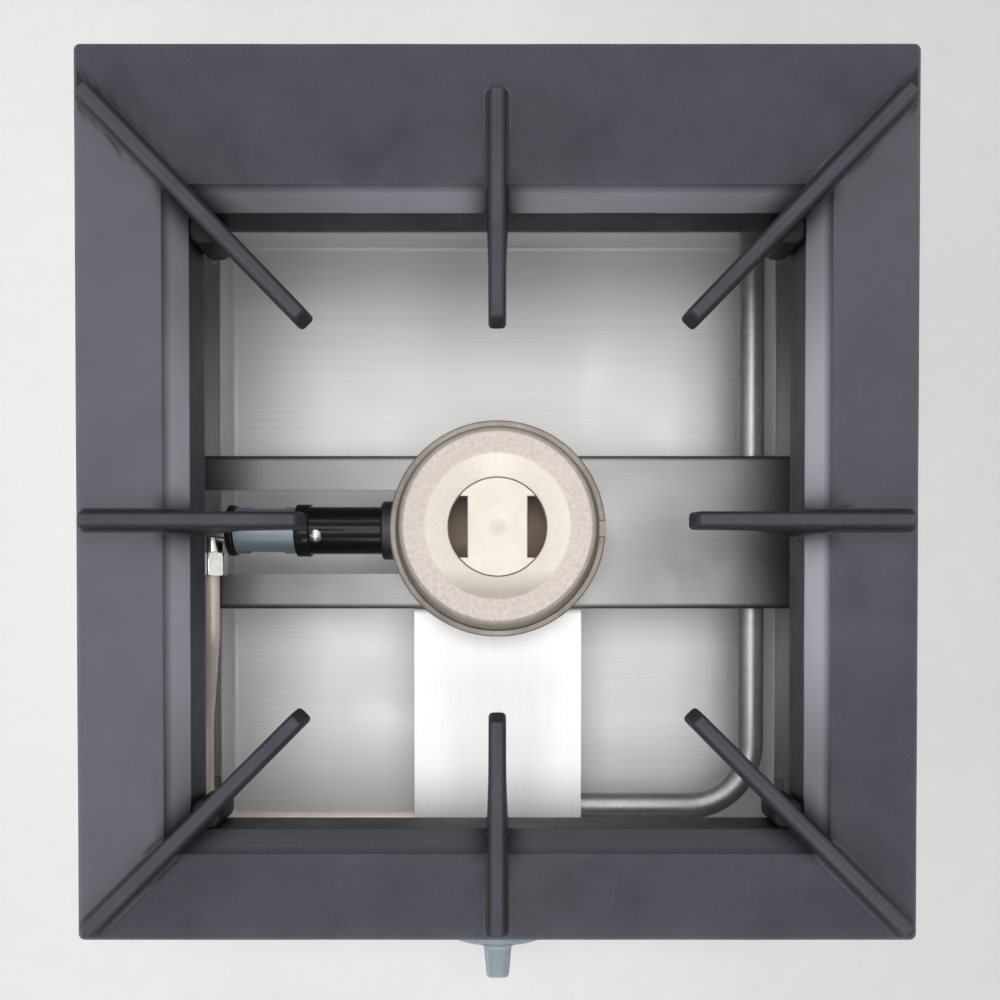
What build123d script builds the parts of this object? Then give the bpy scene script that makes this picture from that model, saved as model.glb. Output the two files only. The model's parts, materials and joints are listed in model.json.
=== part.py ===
from build123d import *
from math import cos, radians, sqrt, tan
import os

# Tabletop gas hob: one burner under a heavy cast-iron pan support, on a folded stainless body.
# Millimetres. +Z is up, the front with the knob is -Y, and the origin is on the burner's axis,
# level with the table that the hob stands on.

# Fits
seam = 0.4                  # gap between neighbouring sheets and loose pieces
hole_slack = 0.3            # radial room round a screw or a fixed tube
turning_slack = 0.08        # radial room of the tap's turning pieces
loose_slack = 0.4           # radial room of pieces that lift, slide or turn by hand

# Pan support
grate_width = 400.0
rear_strip = 25.0           # the flat face is this much broader at the rear
face_width = 41.5           # flat face from the outer edge to the opening
grate_face_z = 200.0        # broad flat face above the table
grate_plate = 10.0
grate_corner = 3.0
grate_edge = 2.5            # rounding of the outer top edge
band_run = 9.5              # sloping band inside the flat face
band_drop = 12.0
grate_depth = 39.0          # flat face to the lower edge of the inner wall
grate_wall = 7.0
finger_rise = 9.0           # finger tops above the flat face
finger_top = 7.6
finger_draft = 2.0          # degrees on each flank
finger_tip = 91.5           # tips from the burner axis, along X and Y
finger_inset = 4.0          # outer ends from the outer edge
corner_inset = 6.0          # diagonal fingers' outer ends from the outer edges
rear_turn = 1.0             # degrees that the rear diagonals point further to the rear
rear_reach = 5.0            # the rear finger runs on this much further
finger_nose = 13.0          # height of the tip
nose_lean = 2.0             # tip leans back by this at its top
finger_knee = 17.0          # height where the gusset starts
gusset_reach = 26.0
gusset_height = 44.0
finger_foot = 13.0          # height at the outer end
finger_edge = 1.2
corner_pad = 14.0           # square block in each inner corner of the wall

# Body sheets
sheet = 1.5
bend = 3.0                  # outer radius of a fold
body_inset = 3.0            # body inside the pan support's outline
body_bottom = 25.0
panel_return = 14.0         # front and rear panels wrap round the corners
knob_hole = 8.0
screw_radius = 2.0
screw_head = 4.0
screw_head_height = 2.4
screw_reach = 6.0           # shank behind the sheet's outer face
panel_screw_inset = 32.0    # panel screws from the posts' ends
post_screw_offset = 5.0     # panel screws from the seam

# Feet
foot_top_radius = 17.0
foot_floor_radius = 14.5
foot_edge = 2.0
foot_inset_x = 17.0         # foot axis from the body's side
foot_inset_y = 40.0         # foot axis from the body's front and rear
foot_recess = 7.0
foot_recess_depth = 9.0
foot_screw = 3.0
foot_screw_head = 5.5
foot_head_height = 4.0
nut_flats = 5.0             # half the width across flats
nut_height = 5.0

# Drip tray
tray_side_gap = 3.2         # tray's side from the foot nuts
tray_rear_gap = 34.0        # tray's rear from the rear panel
tray_bearing = 8.0          # tray on each side panel's lower flange
tray_height = 27.0
tray_sheet = 1.2
tray_bend = 4.0
tray_lip = 11.0
tray_hem = 7.0
slot_slack = 2.0            # tray slot in the front panel round the tray

# Cross bar and heat shield
pipe_room = 1.5             # cross bar above the supply pipe
bar_width = 86.0
bar_depth = 12.0
bar_sheet = 2.0
bar_window = 47.0
bar_end = 29.0              # bar left whole beside the window
bar_screw_spacing = 50.0
shield_width = 94.0
shield_drop = 2.0           # shield below the bar's top
shield_lip = 10.0
shield_screw_spacing = 60.0
shield_screw_drop = 8.0     # screw level below the bar's top
shield_screw_head = 3.0

# Burner
bowl_foot = 38.0
bowl_foot_height = 4.0
bowl_wall = 5.0
bowl_waist = 45.0
bowl_waist_height = 9.0
bowl_rim_height = 31.0
rim_band = 6.0
rim_wall = 3.6              # rim round the cap's foot
cap_seat = 2.0              # cap sits this deep in the bowl's rim
post_radius = 10.0
burner_bolt_spacing = 56.0
burner_bolt = 3.0
bolt_flats = 5.0
bolt_head_height = 4.0
bolt_reach = 4.0            # bolt into the bowl's foot and floor
cap_top = 52.0              # cap top above the bar
cap_base_radius = 53.5
cap_top_radius = 50.5
cap_edge = 2.0
cap_wall = 5.0
dish_radius = 37.5
dish_depth = 6.0
cap_hole = 25.7
cap_hole_skirt = 8.0
cap_ports = 40
port_width = 2.0
port_height = 6.0
key_width = 9.0             # cap's key in a notch of the bowl's rim
disc_flats = 31.0
disc_notch = 32.0           # length of the notch in front of each flat
disc_thickness = 4.0
disc_drop = 6.0             # disc top below the cap's top
dimple_radius = 5.0
dimple_depth = 0.8

# Mixing tube, air shutter and injector, along X
tube_rise = 12.0            # tube axis above the bar
tube_radius = 13.0
tube_wall = 3.0
throat_bore = 8.0
socket_wall = 4.0
socket_outer_x = -63.0
socket_inner_x = -36.0
tube_inner_x = -47.0
throat_x = -88.0
collar_x = -102.0
collar_length = 7.6
collar_radius = 14.4
spigot_length = 33.4
spigot_radius = 10.6
spigot_wall = 2.0
shutter_wall = 1.7
air_port_length = 20.0
air_port_width = 10.0
end_flange = 4.0
end_flange_radius = 14.0
end_spigot = 5.0
lock_screw_x = -98.0
lock_screw_radius = 2.0
lock_screw_head = 3.4
lock_screw_tilt = 15.0      # degrees towards the front
injector_radius = 4.0
injector_length = 19.0
injector_tip = 2.4
injector_jet = 0.9
elbow_radius = 7.0
elbow_length = 17.0
elbow_axis = 10.0           # side arm from the end flange
elbow_arm = 12.0
elbow_arm_radius = 6.0
elbow_bore = 2.6

# Copper feed tube
feed_radius = 4.0
feed_bore = 3.1
feed_nut_flats = 7.5
feed_nut_length = 13.0
feed_straight = 40.0        # run behind the elbow nut
feed_inset = 27.0           # tube from the left side of the body
feed_fall = 56.0            # tube has come down this far behind the tap's outlet
feed_bend = 20.0

# Tap, along Y through the front panel
knob_room = 0.1             # knob above the tray's slot
tap_wall = 4.4
tap_rear_wall = 4.0
bonnet_thickness = 7.0
tap_ear_spacing = 38.0
tap_ear_radius = 5.0
tap_flange = 4.0
chamber_step = 0.6          # spring chamber wider than the plug
chamber_depth = 10.0
plug_front_radius = 9.0
plug_rear_radius = 7.6
plug_length = 27.5
inlet_port = 20.0           # ports behind the plug's front face
outlet_port = 12.5
port_radius = 2.6
inlet_arm = 32.0
inlet_arm_radius = 9.5
outlet_arm = 30.0
outlet_arm_radius = 6.5
spindle_radius = 3.5
spindle_collar = 7.0
spindle_collar_length = 2.0
spindle_flat = 2.0          # flat of the spindle's D from its axis
tang_width = 3.0
tang_height = 6.0
tang_length = 11.8
tang_room = 4.5             # slot behind the tang for the push
spring_radius = 5.4
spring_wire = 0.45          # wire radius
spring_turns = 4
tap_screw_head = 1.4

# Knob and its dial plate
knob_radius = 33.0
knob_face_radius = 32.2
knob_gap = 5.0              # knob's rear edge from the front panel
knob_skirt = 28.4
knob_edge = 2.5
knob_shell = 4.0
knob_recess = 20.7
knob_boss = 8.0
knob_bore_depth = 34.0
grip_width = 16.0
grip_taper = 5.0            # degrees on each flank
grip_height = 59.0
grip_rise = 19.3
grip_edge = 2.5
bezel_radius = 35.0
bezel_thickness = 1.5

# Supply pipe and gas inlet
pipe_radius = 7.5
pipe_bore = 6.3
pipe_inset = 50.0           # pipe from the right side of the body
pipe_bend = 36.0
pipe_nut_flats = 12.0
pipe_nut_length = 15.0
inlet_thread = 10.48        # half-inch male pipe thread, outside radius
inlet_thread_length = 19.0
inlet_flange_flats = 14.0
inlet_flange = 8.7
inlet_inner = 26.0          # fitting inside the rear panel
locknut_height = 5.0
inlet_bore = 6.0

# Worked out from the sizes above
grate_front = grate_width / 2
grate_rear = grate_width / 2 + rear_strip
opening = grate_width - 2 * face_width
finger_end = grate_width / 2 - finger_inset
body_half = grate_width / 2 - body_inset
body_front = -grate_front + body_inset
body_rear = grate_rear - body_inset
body_top = grate_face_z - grate_plate
side_front = body_front + panel_return
side_rear = body_rear - panel_return
panel_inner_y = body_front + sheet
foot_x = body_half - foot_inset_x
tray_half_width = foot_x - nut_flats * 2 / sqrt(3) - tray_side_gap
tray_rear = body_rear - tray_rear_gap
tray_floor = body_bottom + sheet + seam
slot_half_width = tray_half_width + slot_slack
slot_top = tray_floor + tray_height + slot_slack
side_flange = body_half - tray_half_width + tray_bearing
post_leg = body_half - sheet - slot_half_width - seam
tap_z = slot_top + knob_room + knob_radius
pipe_x = body_half - pipe_inset
bar_top = tap_z + pipe_radius + pipe_room + bar_depth
shield_screw_z = bar_top - shield_screw_drop
tube_z = bar_top + tube_rise
tube_bore = tube_radius - tube_wall
spigot_bore = spigot_radius - spigot_wall
window_right = socket_inner_x + slot_slack
window_left = bar_end - body_half
spigot_x = collar_x - collar_length
flange_x = spigot_x - spigot_length
injector_end_x = flange_x - end_flange
elbow_x = injector_end_x - elbow_axis
cap_z = bar_top + cap_top
seat_z = bar_top + bowl_rim_height - cap_seat
bowl_rim = cap_base_radius + loose_slack + rim_wall
disc_z = cap_z - disc_drop - disc_thickness
bonnet_y = panel_inner_y + bonnet_thickness
plug_y = bonnet_y + chamber_depth
inlet_port_y = plug_y + inlet_port
outlet_port_y = plug_y + outlet_port
tap_rear_y = plug_y + plug_length + tap_rear_wall
chamber_radius = plug_front_radius + chamber_step
tap_radius = chamber_radius + tap_wall
knob_rear_y = body_front - knob_gap
feed_side_x = feed_inset - body_half
feed_start_y = -elbow_arm - feed_nut_length / 2
POSTS = [(side, end) for side in (-1, 1) for end in (body_front, body_rear)]
FEET = [(side * foot_x, y) for side in (-1, 1)
        for y in (body_front + foot_inset_y, body_rear - foot_inset_y)]


def block(low, high):
    """Rectangular solid between two corners."""
    size = [b - a for a, b in zip(low, high)]
    centre = [(a + b) / 2 for a, b in zip(low, high)]
    return Pos(*centre) * Box(*size)


def turned(profile, origin=(0, 0, 0), direction=(0, 0, 1)):
    """Solid of revolution of (radius, height) corners about an axis through origin."""
    outline = Polyline(*[(radius, 0, height) for radius, height in profile], close=True)
    return Plane(origin=origin, z_dir=direction) * revolve(make_face(outline), Axis.Z)


def rod(radius, start, end):
    """Round bar from one point to another."""
    reach = Vector(*end) - Vector(*start)
    return extrude(Plane(origin=start, z_dir=reach) * Circle(radius), reach.length)


def hexagon(flats, start, end):
    """Six-sided bar from one point to another; flats is half the width across flats."""
    reach = Vector(*end) - Vector(*start)
    section = Plane(origin=start, z_dir=reach) * RegularPolygon(flats, 6, major_radius=False)
    return extrude(section, reach.length)


def folded(low, high, open_sides, thickness, radius):
    """Sheet box between two corners, bent along its closed edges and open on the named sides."""
    solid = block(low, high)
    rims = [e for axis, index in open_sides for e in solid.faces().sort_by(axis)[index].edges()]
    folds = [edge for edge in solid.edges() if not any(edge.is_same(rim) for rim in rims)]
    solid = fillet(folds, radius)
    mouths = [solid.faces().sort_by(axis)[index] for axis, index in open_sides]
    return offset(solid, -thickness, openings=mouths)


def group(solids):
    """Separate like solids that share one node."""
    return Compound(children=[solid.solid() for solid in solids])


def trapezium(x, height, lean=0):
    """Section of a finger at a distance x along it: narrow top, drafted flanks; a tip's section leans back."""
    top = finger_top / 2
    foot = top + height * tan(radians(finger_draft))
    z = finger_rise
    corners = [(x + lean, -top, z), (x + lean, top, z), (x, foot, z - height), (x, -foot, z - height)]
    return make_face(Polyline(*corners, close=True))


def finger(tip, wall, end):
    """Pan-support finger along +X: a drafted rib with a gusset where it leaves the wall."""
    stations = [(tip, finger_nose, nose_lean), (wall - gusset_reach, finger_knee), (wall, gusset_height),
                (wall + grate_wall, finger_foot), (end, finger_foot)]
    rib = loft([trapezium(*station) for station in stations], ruled=True)
    for end_face in (0, -1):
        edges = rib.faces().sort_by(Axis.X)[end_face].edges()
        upright = [edge for edge in edges if abs(edge.center().Y) > finger_edge]
        rib = fillet(upright, finger_top / 2 - finger_edge)
    crest = rib.faces().sort_by(Axis.Z)[-1].edges()
    return Pos(0, 0, grate_face_z) * fillet(crest, finger_edge)


def pan_support():
    """Cast frame with a sloping band, an inner wall with padded corners, and eight fingers."""
    wall_inside = opening - 2 * band_run
    wall_bottom = grate_face_z - grate_depth
    band_foot = grate_face_z - band_drop
    half = grate_width / 2
    plate = block((-half, -grate_front, body_top), (half, grate_rear, grate_face_z))
    plate = fillet(plate.edges().filter_by(Axis.Z), grate_corner)
    plate = fillet(plate.faces().sort_by(Axis.Z)[-1].edges(), grate_edge)
    sleeve = wall_inside / 2 + grate_wall
    frame = plate + block((-sleeve, -sleeve, wall_bottom), (sleeve, sleeve, body_top))
    mouth = Pos(0, 0, grate_face_z) * Rectangle(opening, opening)
    throat = Pos(0, 0, band_foot) * Rectangle(wall_inside, wall_inside)
    frame -= loft([throat, mouth])
    frame -= block((-wall_inside / 2, -wall_inside / 2, wall_bottom),
                   (wall_inside / 2, wall_inside / 2, band_foot))
    pad_centre = (wall_inside - corner_pad) / 2
    pad = Pos(pad_centre, pad_centre, (wall_bottom + band_foot) / 2)
    pad *= Box(corner_pad, corner_pad, band_foot - wall_bottom)
    for quarter, further in enumerate((0, rear_reach, 0, 0)):
        straight = finger(finger_tip, wall_inside / 2, finger_end + further)
        frame += Rot(0, 0, 90 * quarter) * straight
        frame += Rot(0, 0, 90 * quarter) * pad
    for angle in (45 + rear_turn, 135 - rear_turn, 225, 315):
        reach = (half - corner_inset) / abs(cos(radians(angle)))
        frame += Rot(0, 0, angle) * finger(finger_tip * sqrt(2), wall_inside / sqrt(2), reach)
    return frame


def screw(head_radius, head_height, radius, reach, seat, inward):
    """Round-headed screw: the head stands on seat, the shank runs inward."""
    seat = Vector(*seat)
    inward = Vector(*inward)
    head = turned([(0, 0), (head_radius, 0), (head_radius, head_height / 2),
                   (head_radius / 2, head_height), (0, head_height)], seat, -inward)
    return head + rod(radius, seat, seat + inward * reach)


def panel_screw_seats():
    """Where the screws hold each side panel to its corner posts: point and inward direction."""
    levels = (body_bottom + panel_screw_inset, body_top - panel_screw_inset)
    rows = (side_front + post_screw_offset, side_rear - post_screw_offset)
    return [((side * body_half, y, z), (-side, 0, 0)) for side in (-1, 1) for y in rows for z in levels]


def bar_screw_seats():
    """Where the cross bar's ends are screwed to the side panels."""
    level = bar_top - bar_depth / 2
    rows = (-bar_screw_spacing / 2, bar_screw_spacing / 2)
    return [((side * body_half, y, level), (-side, 0, 0)) for side in (-1, 1) for y in rows]


def drilled(solid, seats, radius):
    """Clearance holes through a solid at each screw's seat."""
    for seat, inward in seats:
        start = Vector(*seat) - Vector(*inward) * sheet
        solid -= rod(radius, start, start + Vector(*inward) * screw_reach)
    return solid


def side_panel(side):
    """Channel-folded side: wall with flanges turned in at the top and the bottom."""
    inner = side * (body_half - side_flange)
    low_x, high_x = sorted((side * body_half, inner))
    mouths = [(Axis.Y, 0), (Axis.Y, -1), (Axis.X, 0 if side > 0 else -1)]
    panel = folded((low_x, side_front + seam, body_bottom), (high_x, side_rear - seam, body_top),
                   mouths, sheet, bend)
    seats = [seat for seat in panel_screw_seats() + bar_screw_seats() if seat[0][0] * side > 0]
    panel = drilled(panel, seats, screw_radius + hole_slack)
    for x, y in FEET:
        panel -= rod(foot_screw + hole_slack, (x, y, body_bottom), (x, y, body_bottom + sheet))
    return panel


def front_panel():
    """Front sheet that wraps both corners, with the tray's slot and the spindle's hole."""
    panel = folded((-body_half, body_front, body_bottom), (body_half, side_front, body_top),
                   [(Axis.Y, -1), (Axis.Z, 0)], sheet, bend)
    panel -= block((-slot_half_width, body_front, body_bottom), (slot_half_width, panel_inner_y, slot_top))
    panel -= rod(knob_hole, (0, body_front, tap_z), (0, panel_inner_y, tap_z))
    for x in (-tap_ear_spacing / 2, tap_ear_spacing / 2):
        panel -= rod(screw_radius + hole_slack, (x, body_front, tap_z), (x, panel_inner_y, tap_z))
    return panel


def rear_panel():
    """Rear sheet that wraps both corners, with the gas inlet's hole."""
    panel = folded((-body_half, side_rear, body_bottom), (body_half, body_rear, body_top),
                   [(Axis.Y, 0), (Axis.Z, 0)], sheet, bend)
    hole = rod(inlet_thread + hole_slack, (pipe_x, body_rear - sheet, tap_z), (pipe_x, body_rear, tap_z))
    return panel - hole


def corner_post(side, end):
    """Angle inside one corner that ties the front or rear panel to the side panel."""
    inward = 1 if end < 0 else -1
    corner_x = side * (body_half - sheet)
    corner_y = end + inward * sheet
    low_x, high_x = sorted((corner_x, corner_x - side * post_leg))
    low_y, high_y = sorted((corner_y, corner_y + inward * post_leg))
    mouths = [(Axis.Z, 0), (Axis.Z, -1), (Axis.X, 0 if side > 0 else -1), (Axis.Y, -1 if inward > 0 else 0)]
    angle = folded((low_x, low_y, body_bottom + bend), (high_x, high_y, body_top - bend), mouths, sheet, bend)
    seats = [seat for seat in panel_screw_seats() if seat[0][0] * side > 0]
    return drilled(angle, seats, screw_radius + hole_slack)


def rubber_foot(x, y):
    """Tapered rubber foot, hollow below for its screw's head."""
    recess_top = foot_recess_depth
    foot = turned([(foot_screw + hole_slack, recess_top), (foot_recess, recess_top), (foot_recess, 0),
                   (foot_floor_radius - foot_edge, 0), (foot_floor_radius, foot_edge),
                   (foot_top_radius, body_bottom - foot_edge), (foot_top_radius - foot_edge, body_bottom),
                   (foot_screw + hole_slack, body_bottom)])
    return Pos(x, y, 0) * foot


def foot_screw_solid(x, y):
    """Screw up through a foot and the side panel's flange."""
    top = body_bottom + sheet + nut_height
    return screw(foot_screw_head, foot_head_height, foot_screw, top - foot_recess_depth,
                 (x, y, foot_recess_depth), (0, 0, 1))


def foot_nut(x, y):
    """Nut on the flange above a foot."""
    base = body_bottom + sheet
    nut = hexagon(nut_flats, (x, y, base), (x, y, base + nut_height))
    return nut - rod(foot_screw + hole_slack, (x, y, base), (x, y, base + nut_height))


def drip_tray():
    """Shallow folded tray that slides out under the front panel, with a hemmed pull lip."""
    top = tray_floor + tray_height
    tray = folded((-tray_half_width, body_front, tray_floor), (tray_half_width, tray_rear, top),
                  [(Axis.Z, -1)], tray_sheet, tray_bend)
    lip_half = tray_half_width - tray_bend
    lip_front = body_front - tray_lip
    lip = folded((-lip_half, lip_front, top - tray_hem), (lip_half, body_front + tray_sheet, top),
                 [(Axis.X, 0), (Axis.X, -1), (Axis.Y, -1), (Axis.Z, 0)], tray_sheet, bend)
    return tray + lip


def cross_bar():
    """Folded bar from side to side that carries the burner, with a window under the mixing tube."""
    half = body_half - sheet
    bar = folded((-half, -bar_width / 2, bar_top - bar_depth), (half, bar_width / 2, bar_top),
                 [(Axis.Z, 0)], bar_sheet, bend)
    bar -= block((window_left, -bar_window / 2, bar_top - bar_sheet),
                 (window_right, bar_window / 2, bar_top))
    bar = drilled(bar, bar_screw_seats(), screw_radius + hole_slack)
    for y in (-burner_bolt_spacing / 2, burner_bolt_spacing / 2):
        bar -= rod(burner_bolt + hole_slack, (0, y, bar_top - bar_sheet), (0, y, bar_top))
    for seat, inward in shield_screw_seats():
        lip_back = Vector(*seat) + Vector(*inward) * sheet
        bar -= rod(screw_radius + hole_slack, lip_back, lip_back + Vector(*inward) * bar_sheet)
    return bar


def heat_shield():
    """Bright strip over the tap, with lips turned down on the cross bar and the front panel."""
    top = bar_top - shield_drop
    shield = folded((-shield_width / 2, panel_inner_y, top - shield_lip),
                    (shield_width / 2, -bar_width / 2, top),
                    [(Axis.X, 0), (Axis.X, -1), (Axis.Z, 0)], sheet, bend)
    for seat, inward in shield_screw_seats():
        shield -= rod(screw_radius + hole_slack, seat, Vector(*seat) + Vector(*inward) * sheet)
    return shield - rod(tap_radius + slot_slack, (0, panel_inner_y, tap_z), (0, panel_inner_y + bend, tap_z))


def shield_screw_seats():
    """Where the heat shield's rear lip is screwed to the cross bar."""
    seat_y = -bar_width / 2 - sheet
    return [((x, seat_y, shield_screw_z), (0, 1, 0))
            for x in (-shield_screw_spacing / 2, shield_screw_spacing / 2)]


def burner_bowl():
    """Cast bowl: foot, flared wall, notched rim for the cap, centre post and mixing-tube socket."""
    base = bar_top
    rim_top = base + bowl_rim_height
    rim_foot = rim_top - rim_band
    floor = base + bowl_foot_height + bowl_wall
    inner_rim = cap_base_radius + loose_slack
    throat = cap_base_radius - cap_wall
    bowl = turned([(0, base), (bowl_foot, base), (bowl_foot, base + bowl_foot_height),
                   (bowl_waist, base + bowl_waist_height), (bowl_rim, rim_foot),
                   (bowl_rim, rim_top), (0, rim_top)])
    bowl += rod(tube_radius + socket_wall, (socket_outer_x, 0, tube_z), (socket_inner_x, 0, tube_z))
    bowl -= turned([(0, cap_z), (inner_rim, cap_z), (inner_rim, seat_z), (throat, seat_z),
                    (throat, rim_foot), (bowl_waist - bowl_wall, floor), (0, floor)])
    bowl += turned([(0, floor - sheet), (post_radius, floor - sheet), (post_radius, disc_z), (0, disc_z)])
    bowl -= rod(tube_radius + hole_slack, (socket_outer_x, 0, tube_z), (tube_inner_x, 0, tube_z))
    bowl -= rod(tube_bore - seam, (tube_inner_x, 0, tube_z), (-post_radius - cap_wall, 0, tube_z))
    for y in (-burner_bolt_spacing / 2, burner_bolt_spacing / 2):
        bowl -= rod(burner_bolt + hole_slack, (0, y, base), (0, y, base + bolt_reach + hole_slack))
    return bowl - block((cap_base_radius, -key_width / 2, seat_z), (bowl_rim, key_width / 2, rim_top))


def burner_bolt_solid(y):
    """Hexagon-headed bolt up through the cross bar into the bowl's foot."""
    seat = bar_top - bar_sheet
    head = hexagon(bolt_flats, (0, y, seat - bolt_head_height), (0, y, seat))
    return head + rod(burner_bolt, (0, y, seat), (0, y, bar_top + bolt_reach))


def burner_cap():
    """Loose cast ring: dished top with a centre hole, flame ports round its foot, and a key."""
    under = cap_z - cap_wall
    cap = turned([(cap_base_radius, seat_z), (cap_base_radius, seat_z + port_height + cap_seat),
                  (cap_top_radius, cap_z - cap_edge), (cap_top_radius - cap_edge, cap_z),
                  (dish_radius, cap_z), (cap_hole, cap_z - dish_depth),
                  (cap_hole, cap_z - dish_depth - cap_hole_skirt),
                  (cap_hole + cap_wall, cap_z - dish_depth - cap_hole_skirt),
                  (dish_radius, under - cap_edge), (cap_top_radius - cap_wall - cap_edge, under - cap_edge),
                  (cap_base_radius - cap_wall + loose_slack, seat_z + port_height + cap_seat),
                  (cap_base_radius - cap_wall + loose_slack, seat_z)])
    key_half = key_width / 2 - loose_slack
    cap += block((cap_base_radius - cap_edge, -key_half, seat_z), (bowl_rim - seam, key_half, seat_z + cap_seat))
    port = Pos(cap_base_radius - cap_wall / 2, 0, seat_z + cap_seat + port_height / 2)
    slot = port * Box(2 * cap_wall, port_width, port_height)
    return cap - [Rot(0, 0, 360 * index / cap_ports) * slot for index in range(cap_ports)]


def burner_centre_disc():
    """Round disc that fills the cap's hole, notched on each side to leave a crescent open."""
    disc = rod(cap_hole - loose_slack, (0, 0, disc_z), (0, 0, disc_z + disc_thickness))
    disc = fillet(disc.faces().sort_by(Axis.Z)[-1].edges(), dimple_depth)
    top = disc_z + disc_thickness
    for side in (-1, 1):
        low_x, high_x = sorted((side * disc_flats / 2, side * cap_hole))
        disc -= block((low_x, -disc_notch / 2, disc_z), (high_x, disc_notch / 2, top))
    return disc - turned([(0, top - dimple_depth), (dimple_radius, top), (0, top)])


def air_ports(inner, outer):
    """Two slots on opposite sides of the spigot or of the shutter round it."""
    middle = spigot_x - spigot_length / 2
    reach = (outer - inner) / 2
    slot = Box(air_port_length, outer - inner, air_port_width)
    return [Pos(middle, side * (inner + reach), tube_z) * slot for side in (-1, 1)]


def mixing_tube():
    """Black venturi tube: entry spigot with air slots, collar, throat and flared delivery end."""
    along = [(tube_bore, -tube_inner_x), (tube_radius, -tube_inner_x), (tube_radius, -collar_x),
             (collar_radius, -collar_x), (collar_radius, -spigot_x), (spigot_radius, -spigot_x),
             (spigot_radius, -flange_x), (spigot_bore, -flange_x), (spigot_bore, -collar_x),
             (throat_bore, -throat_x)]
    tube = turned(along, (0, 0, tube_z), (-1, 0, 0))
    tube -= air_ports(spigot_bore - sheet, spigot_radius + sheet)
    seat, inward = lock_screw_seat()
    return tube - rod(lock_screw_radius, seat, seat + inward * (tube_radius - tube_bore))


def lock_screw_seat():
    """Seat of the lock screw on top of the mixing tube, leaning to the front."""
    outward = Vector(0, 0, 1).rotate(Axis.X, lock_screw_tilt)
    return Vector(lock_screw_x, 0, tube_z) + outward * tube_radius, -outward


def shutter_lock_screw():
    """Bright screw beside the collar that holds the shutter's setting."""
    seat, inward = lock_screw_seat()
    return screw(lock_screw_head, screw_head_height, lock_screw_radius - hole_slack, sheet, seat, inward)


def air_shutter():
    """Plated sleeve that turns on the spigot and covers its air slots."""
    inner = spigot_radius + loose_slack
    outer = inner + shutter_wall
    first = -spigot_x + seam
    last = -flange_x - seam
    section = [(inner, first), (outer, first), (outer, last), (inner, last)]
    sleeve = turned(section, (0, 0, tube_z), (-1, 0, 0))
    return sleeve - air_ports(spigot_radius - sheet, outer + sheet)


def injector_flange():
    """Black end plate of the mixing tube, with a spigot that plugs it and a hole for the injector."""
    plug = spigot_bore - hole_slack
    hole = injector_radius + hole_slack
    return turned([(hole, -flange_x - end_spigot), (plug, -flange_x - end_spigot), (plug, -flange_x),
                   (end_flange_radius, -flange_x), (end_flange_radius, -injector_end_x),
                   (hole, -injector_end_x)], (0, 0, tube_z), (-1, 0, 0))


def injector():
    """Brass jet on the elbow, pointing into the mixing tube."""
    start = -injector_end_x
    shoulder = start - injector_length / 2
    return turned([(injector_jet, start), (injector_radius, start), (injector_radius, shoulder),
                   (injector_tip, start - injector_length), (injector_jet, start - injector_length)],
                  (0, 0, tube_z), (-1, 0, 0))


def injector_elbow():
    """Nickelled elbow that turns the gas from the feed tube into the injector."""
    head = turned([(0, -injector_end_x), (elbow_radius, -injector_end_x),
                   (elbow_radius, elbow_length - injector_end_x - sheet),
                   (elbow_radius - sheet, elbow_length - injector_end_x), (0, elbow_length - injector_end_x)],
                  (0, 0, tube_z), (-1, 0, 0))
    head += rod(elbow_arm_radius, (elbow_x, 0, tube_z), (elbow_x, -elbow_arm, tube_z))
    head -= rod(elbow_bore, (injector_end_x, 0, tube_z), (elbow_x, 0, tube_z))
    return head - rod(elbow_bore, (elbow_x, 0, tube_z), (elbow_x, -elbow_arm, tube_z))


def tube_nut(flats, length, bore, start, direction):
    """Union nut on the end of an arm; the tube leaves through its bore."""
    start = Vector(*start)
    end = start + Vector(*direction) * length
    return hexagon(flats, start, end) - rod(bore + hole_slack, start, end)


def tube_nuts():
    """The feed tube's two union nuts, at the elbow and at the tap."""
    ends = [((elbow_x, -elbow_arm, tube_z), (0, -1, 0)), ((-outlet_arm, outlet_port_y, tap_z), (-1, 0, 0))]
    return group([tube_nut(feed_nut_flats, feed_nut_length, feed_radius, *end) for end in ends])


def pipe_sweep(route, radius, bore, bends):
    """Tube along straight runs joined by arcs."""
    path = FilletPolyline(*route, radius=bends)
    section = Plane(origin=path @ 0, z_dir=path % 0) * (Circle(radius) - Circle(bore))
    return sweep(section, path)


def copper_feed_tube():
    """Soft copper tube from the tap along the front and the left side up to the elbow."""
    route = [(elbow_x, -elbow_arm, tube_z), (elbow_x, feed_start_y - feed_straight, tube_z),
             (feed_side_x, outlet_port_y + feed_fall, tap_z), (feed_side_x, outlet_port_y, tap_z),
             (-outlet_arm, outlet_port_y, tap_z)]
    return pipe_sweep(route, feed_radius, feed_bore, feed_bend)


def supply_pipe():
    """Steel pipe from the rear inlet along the right side and the front to the tap."""
    route = [(pipe_x, body_rear - inlet_inner, tap_z), (pipe_x, inlet_port_y, tap_z),
             (inlet_arm, inlet_port_y, tap_z)]
    return pipe_sweep(route, pipe_radius, pipe_bore, pipe_bend)


def pipe_nuts():
    """Union nuts of the supply pipe, at the tap and at the inlet."""
    ends = [((inlet_arm, inlet_port_y, tap_z), (1, 0, 0)),
            ((pipe_x, body_rear - inlet_inner, tap_z), (0, -1, 0))]
    return group([tube_nut(pipe_nut_flats, pipe_nut_length, pipe_radius, *end) for end in ends])


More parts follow.
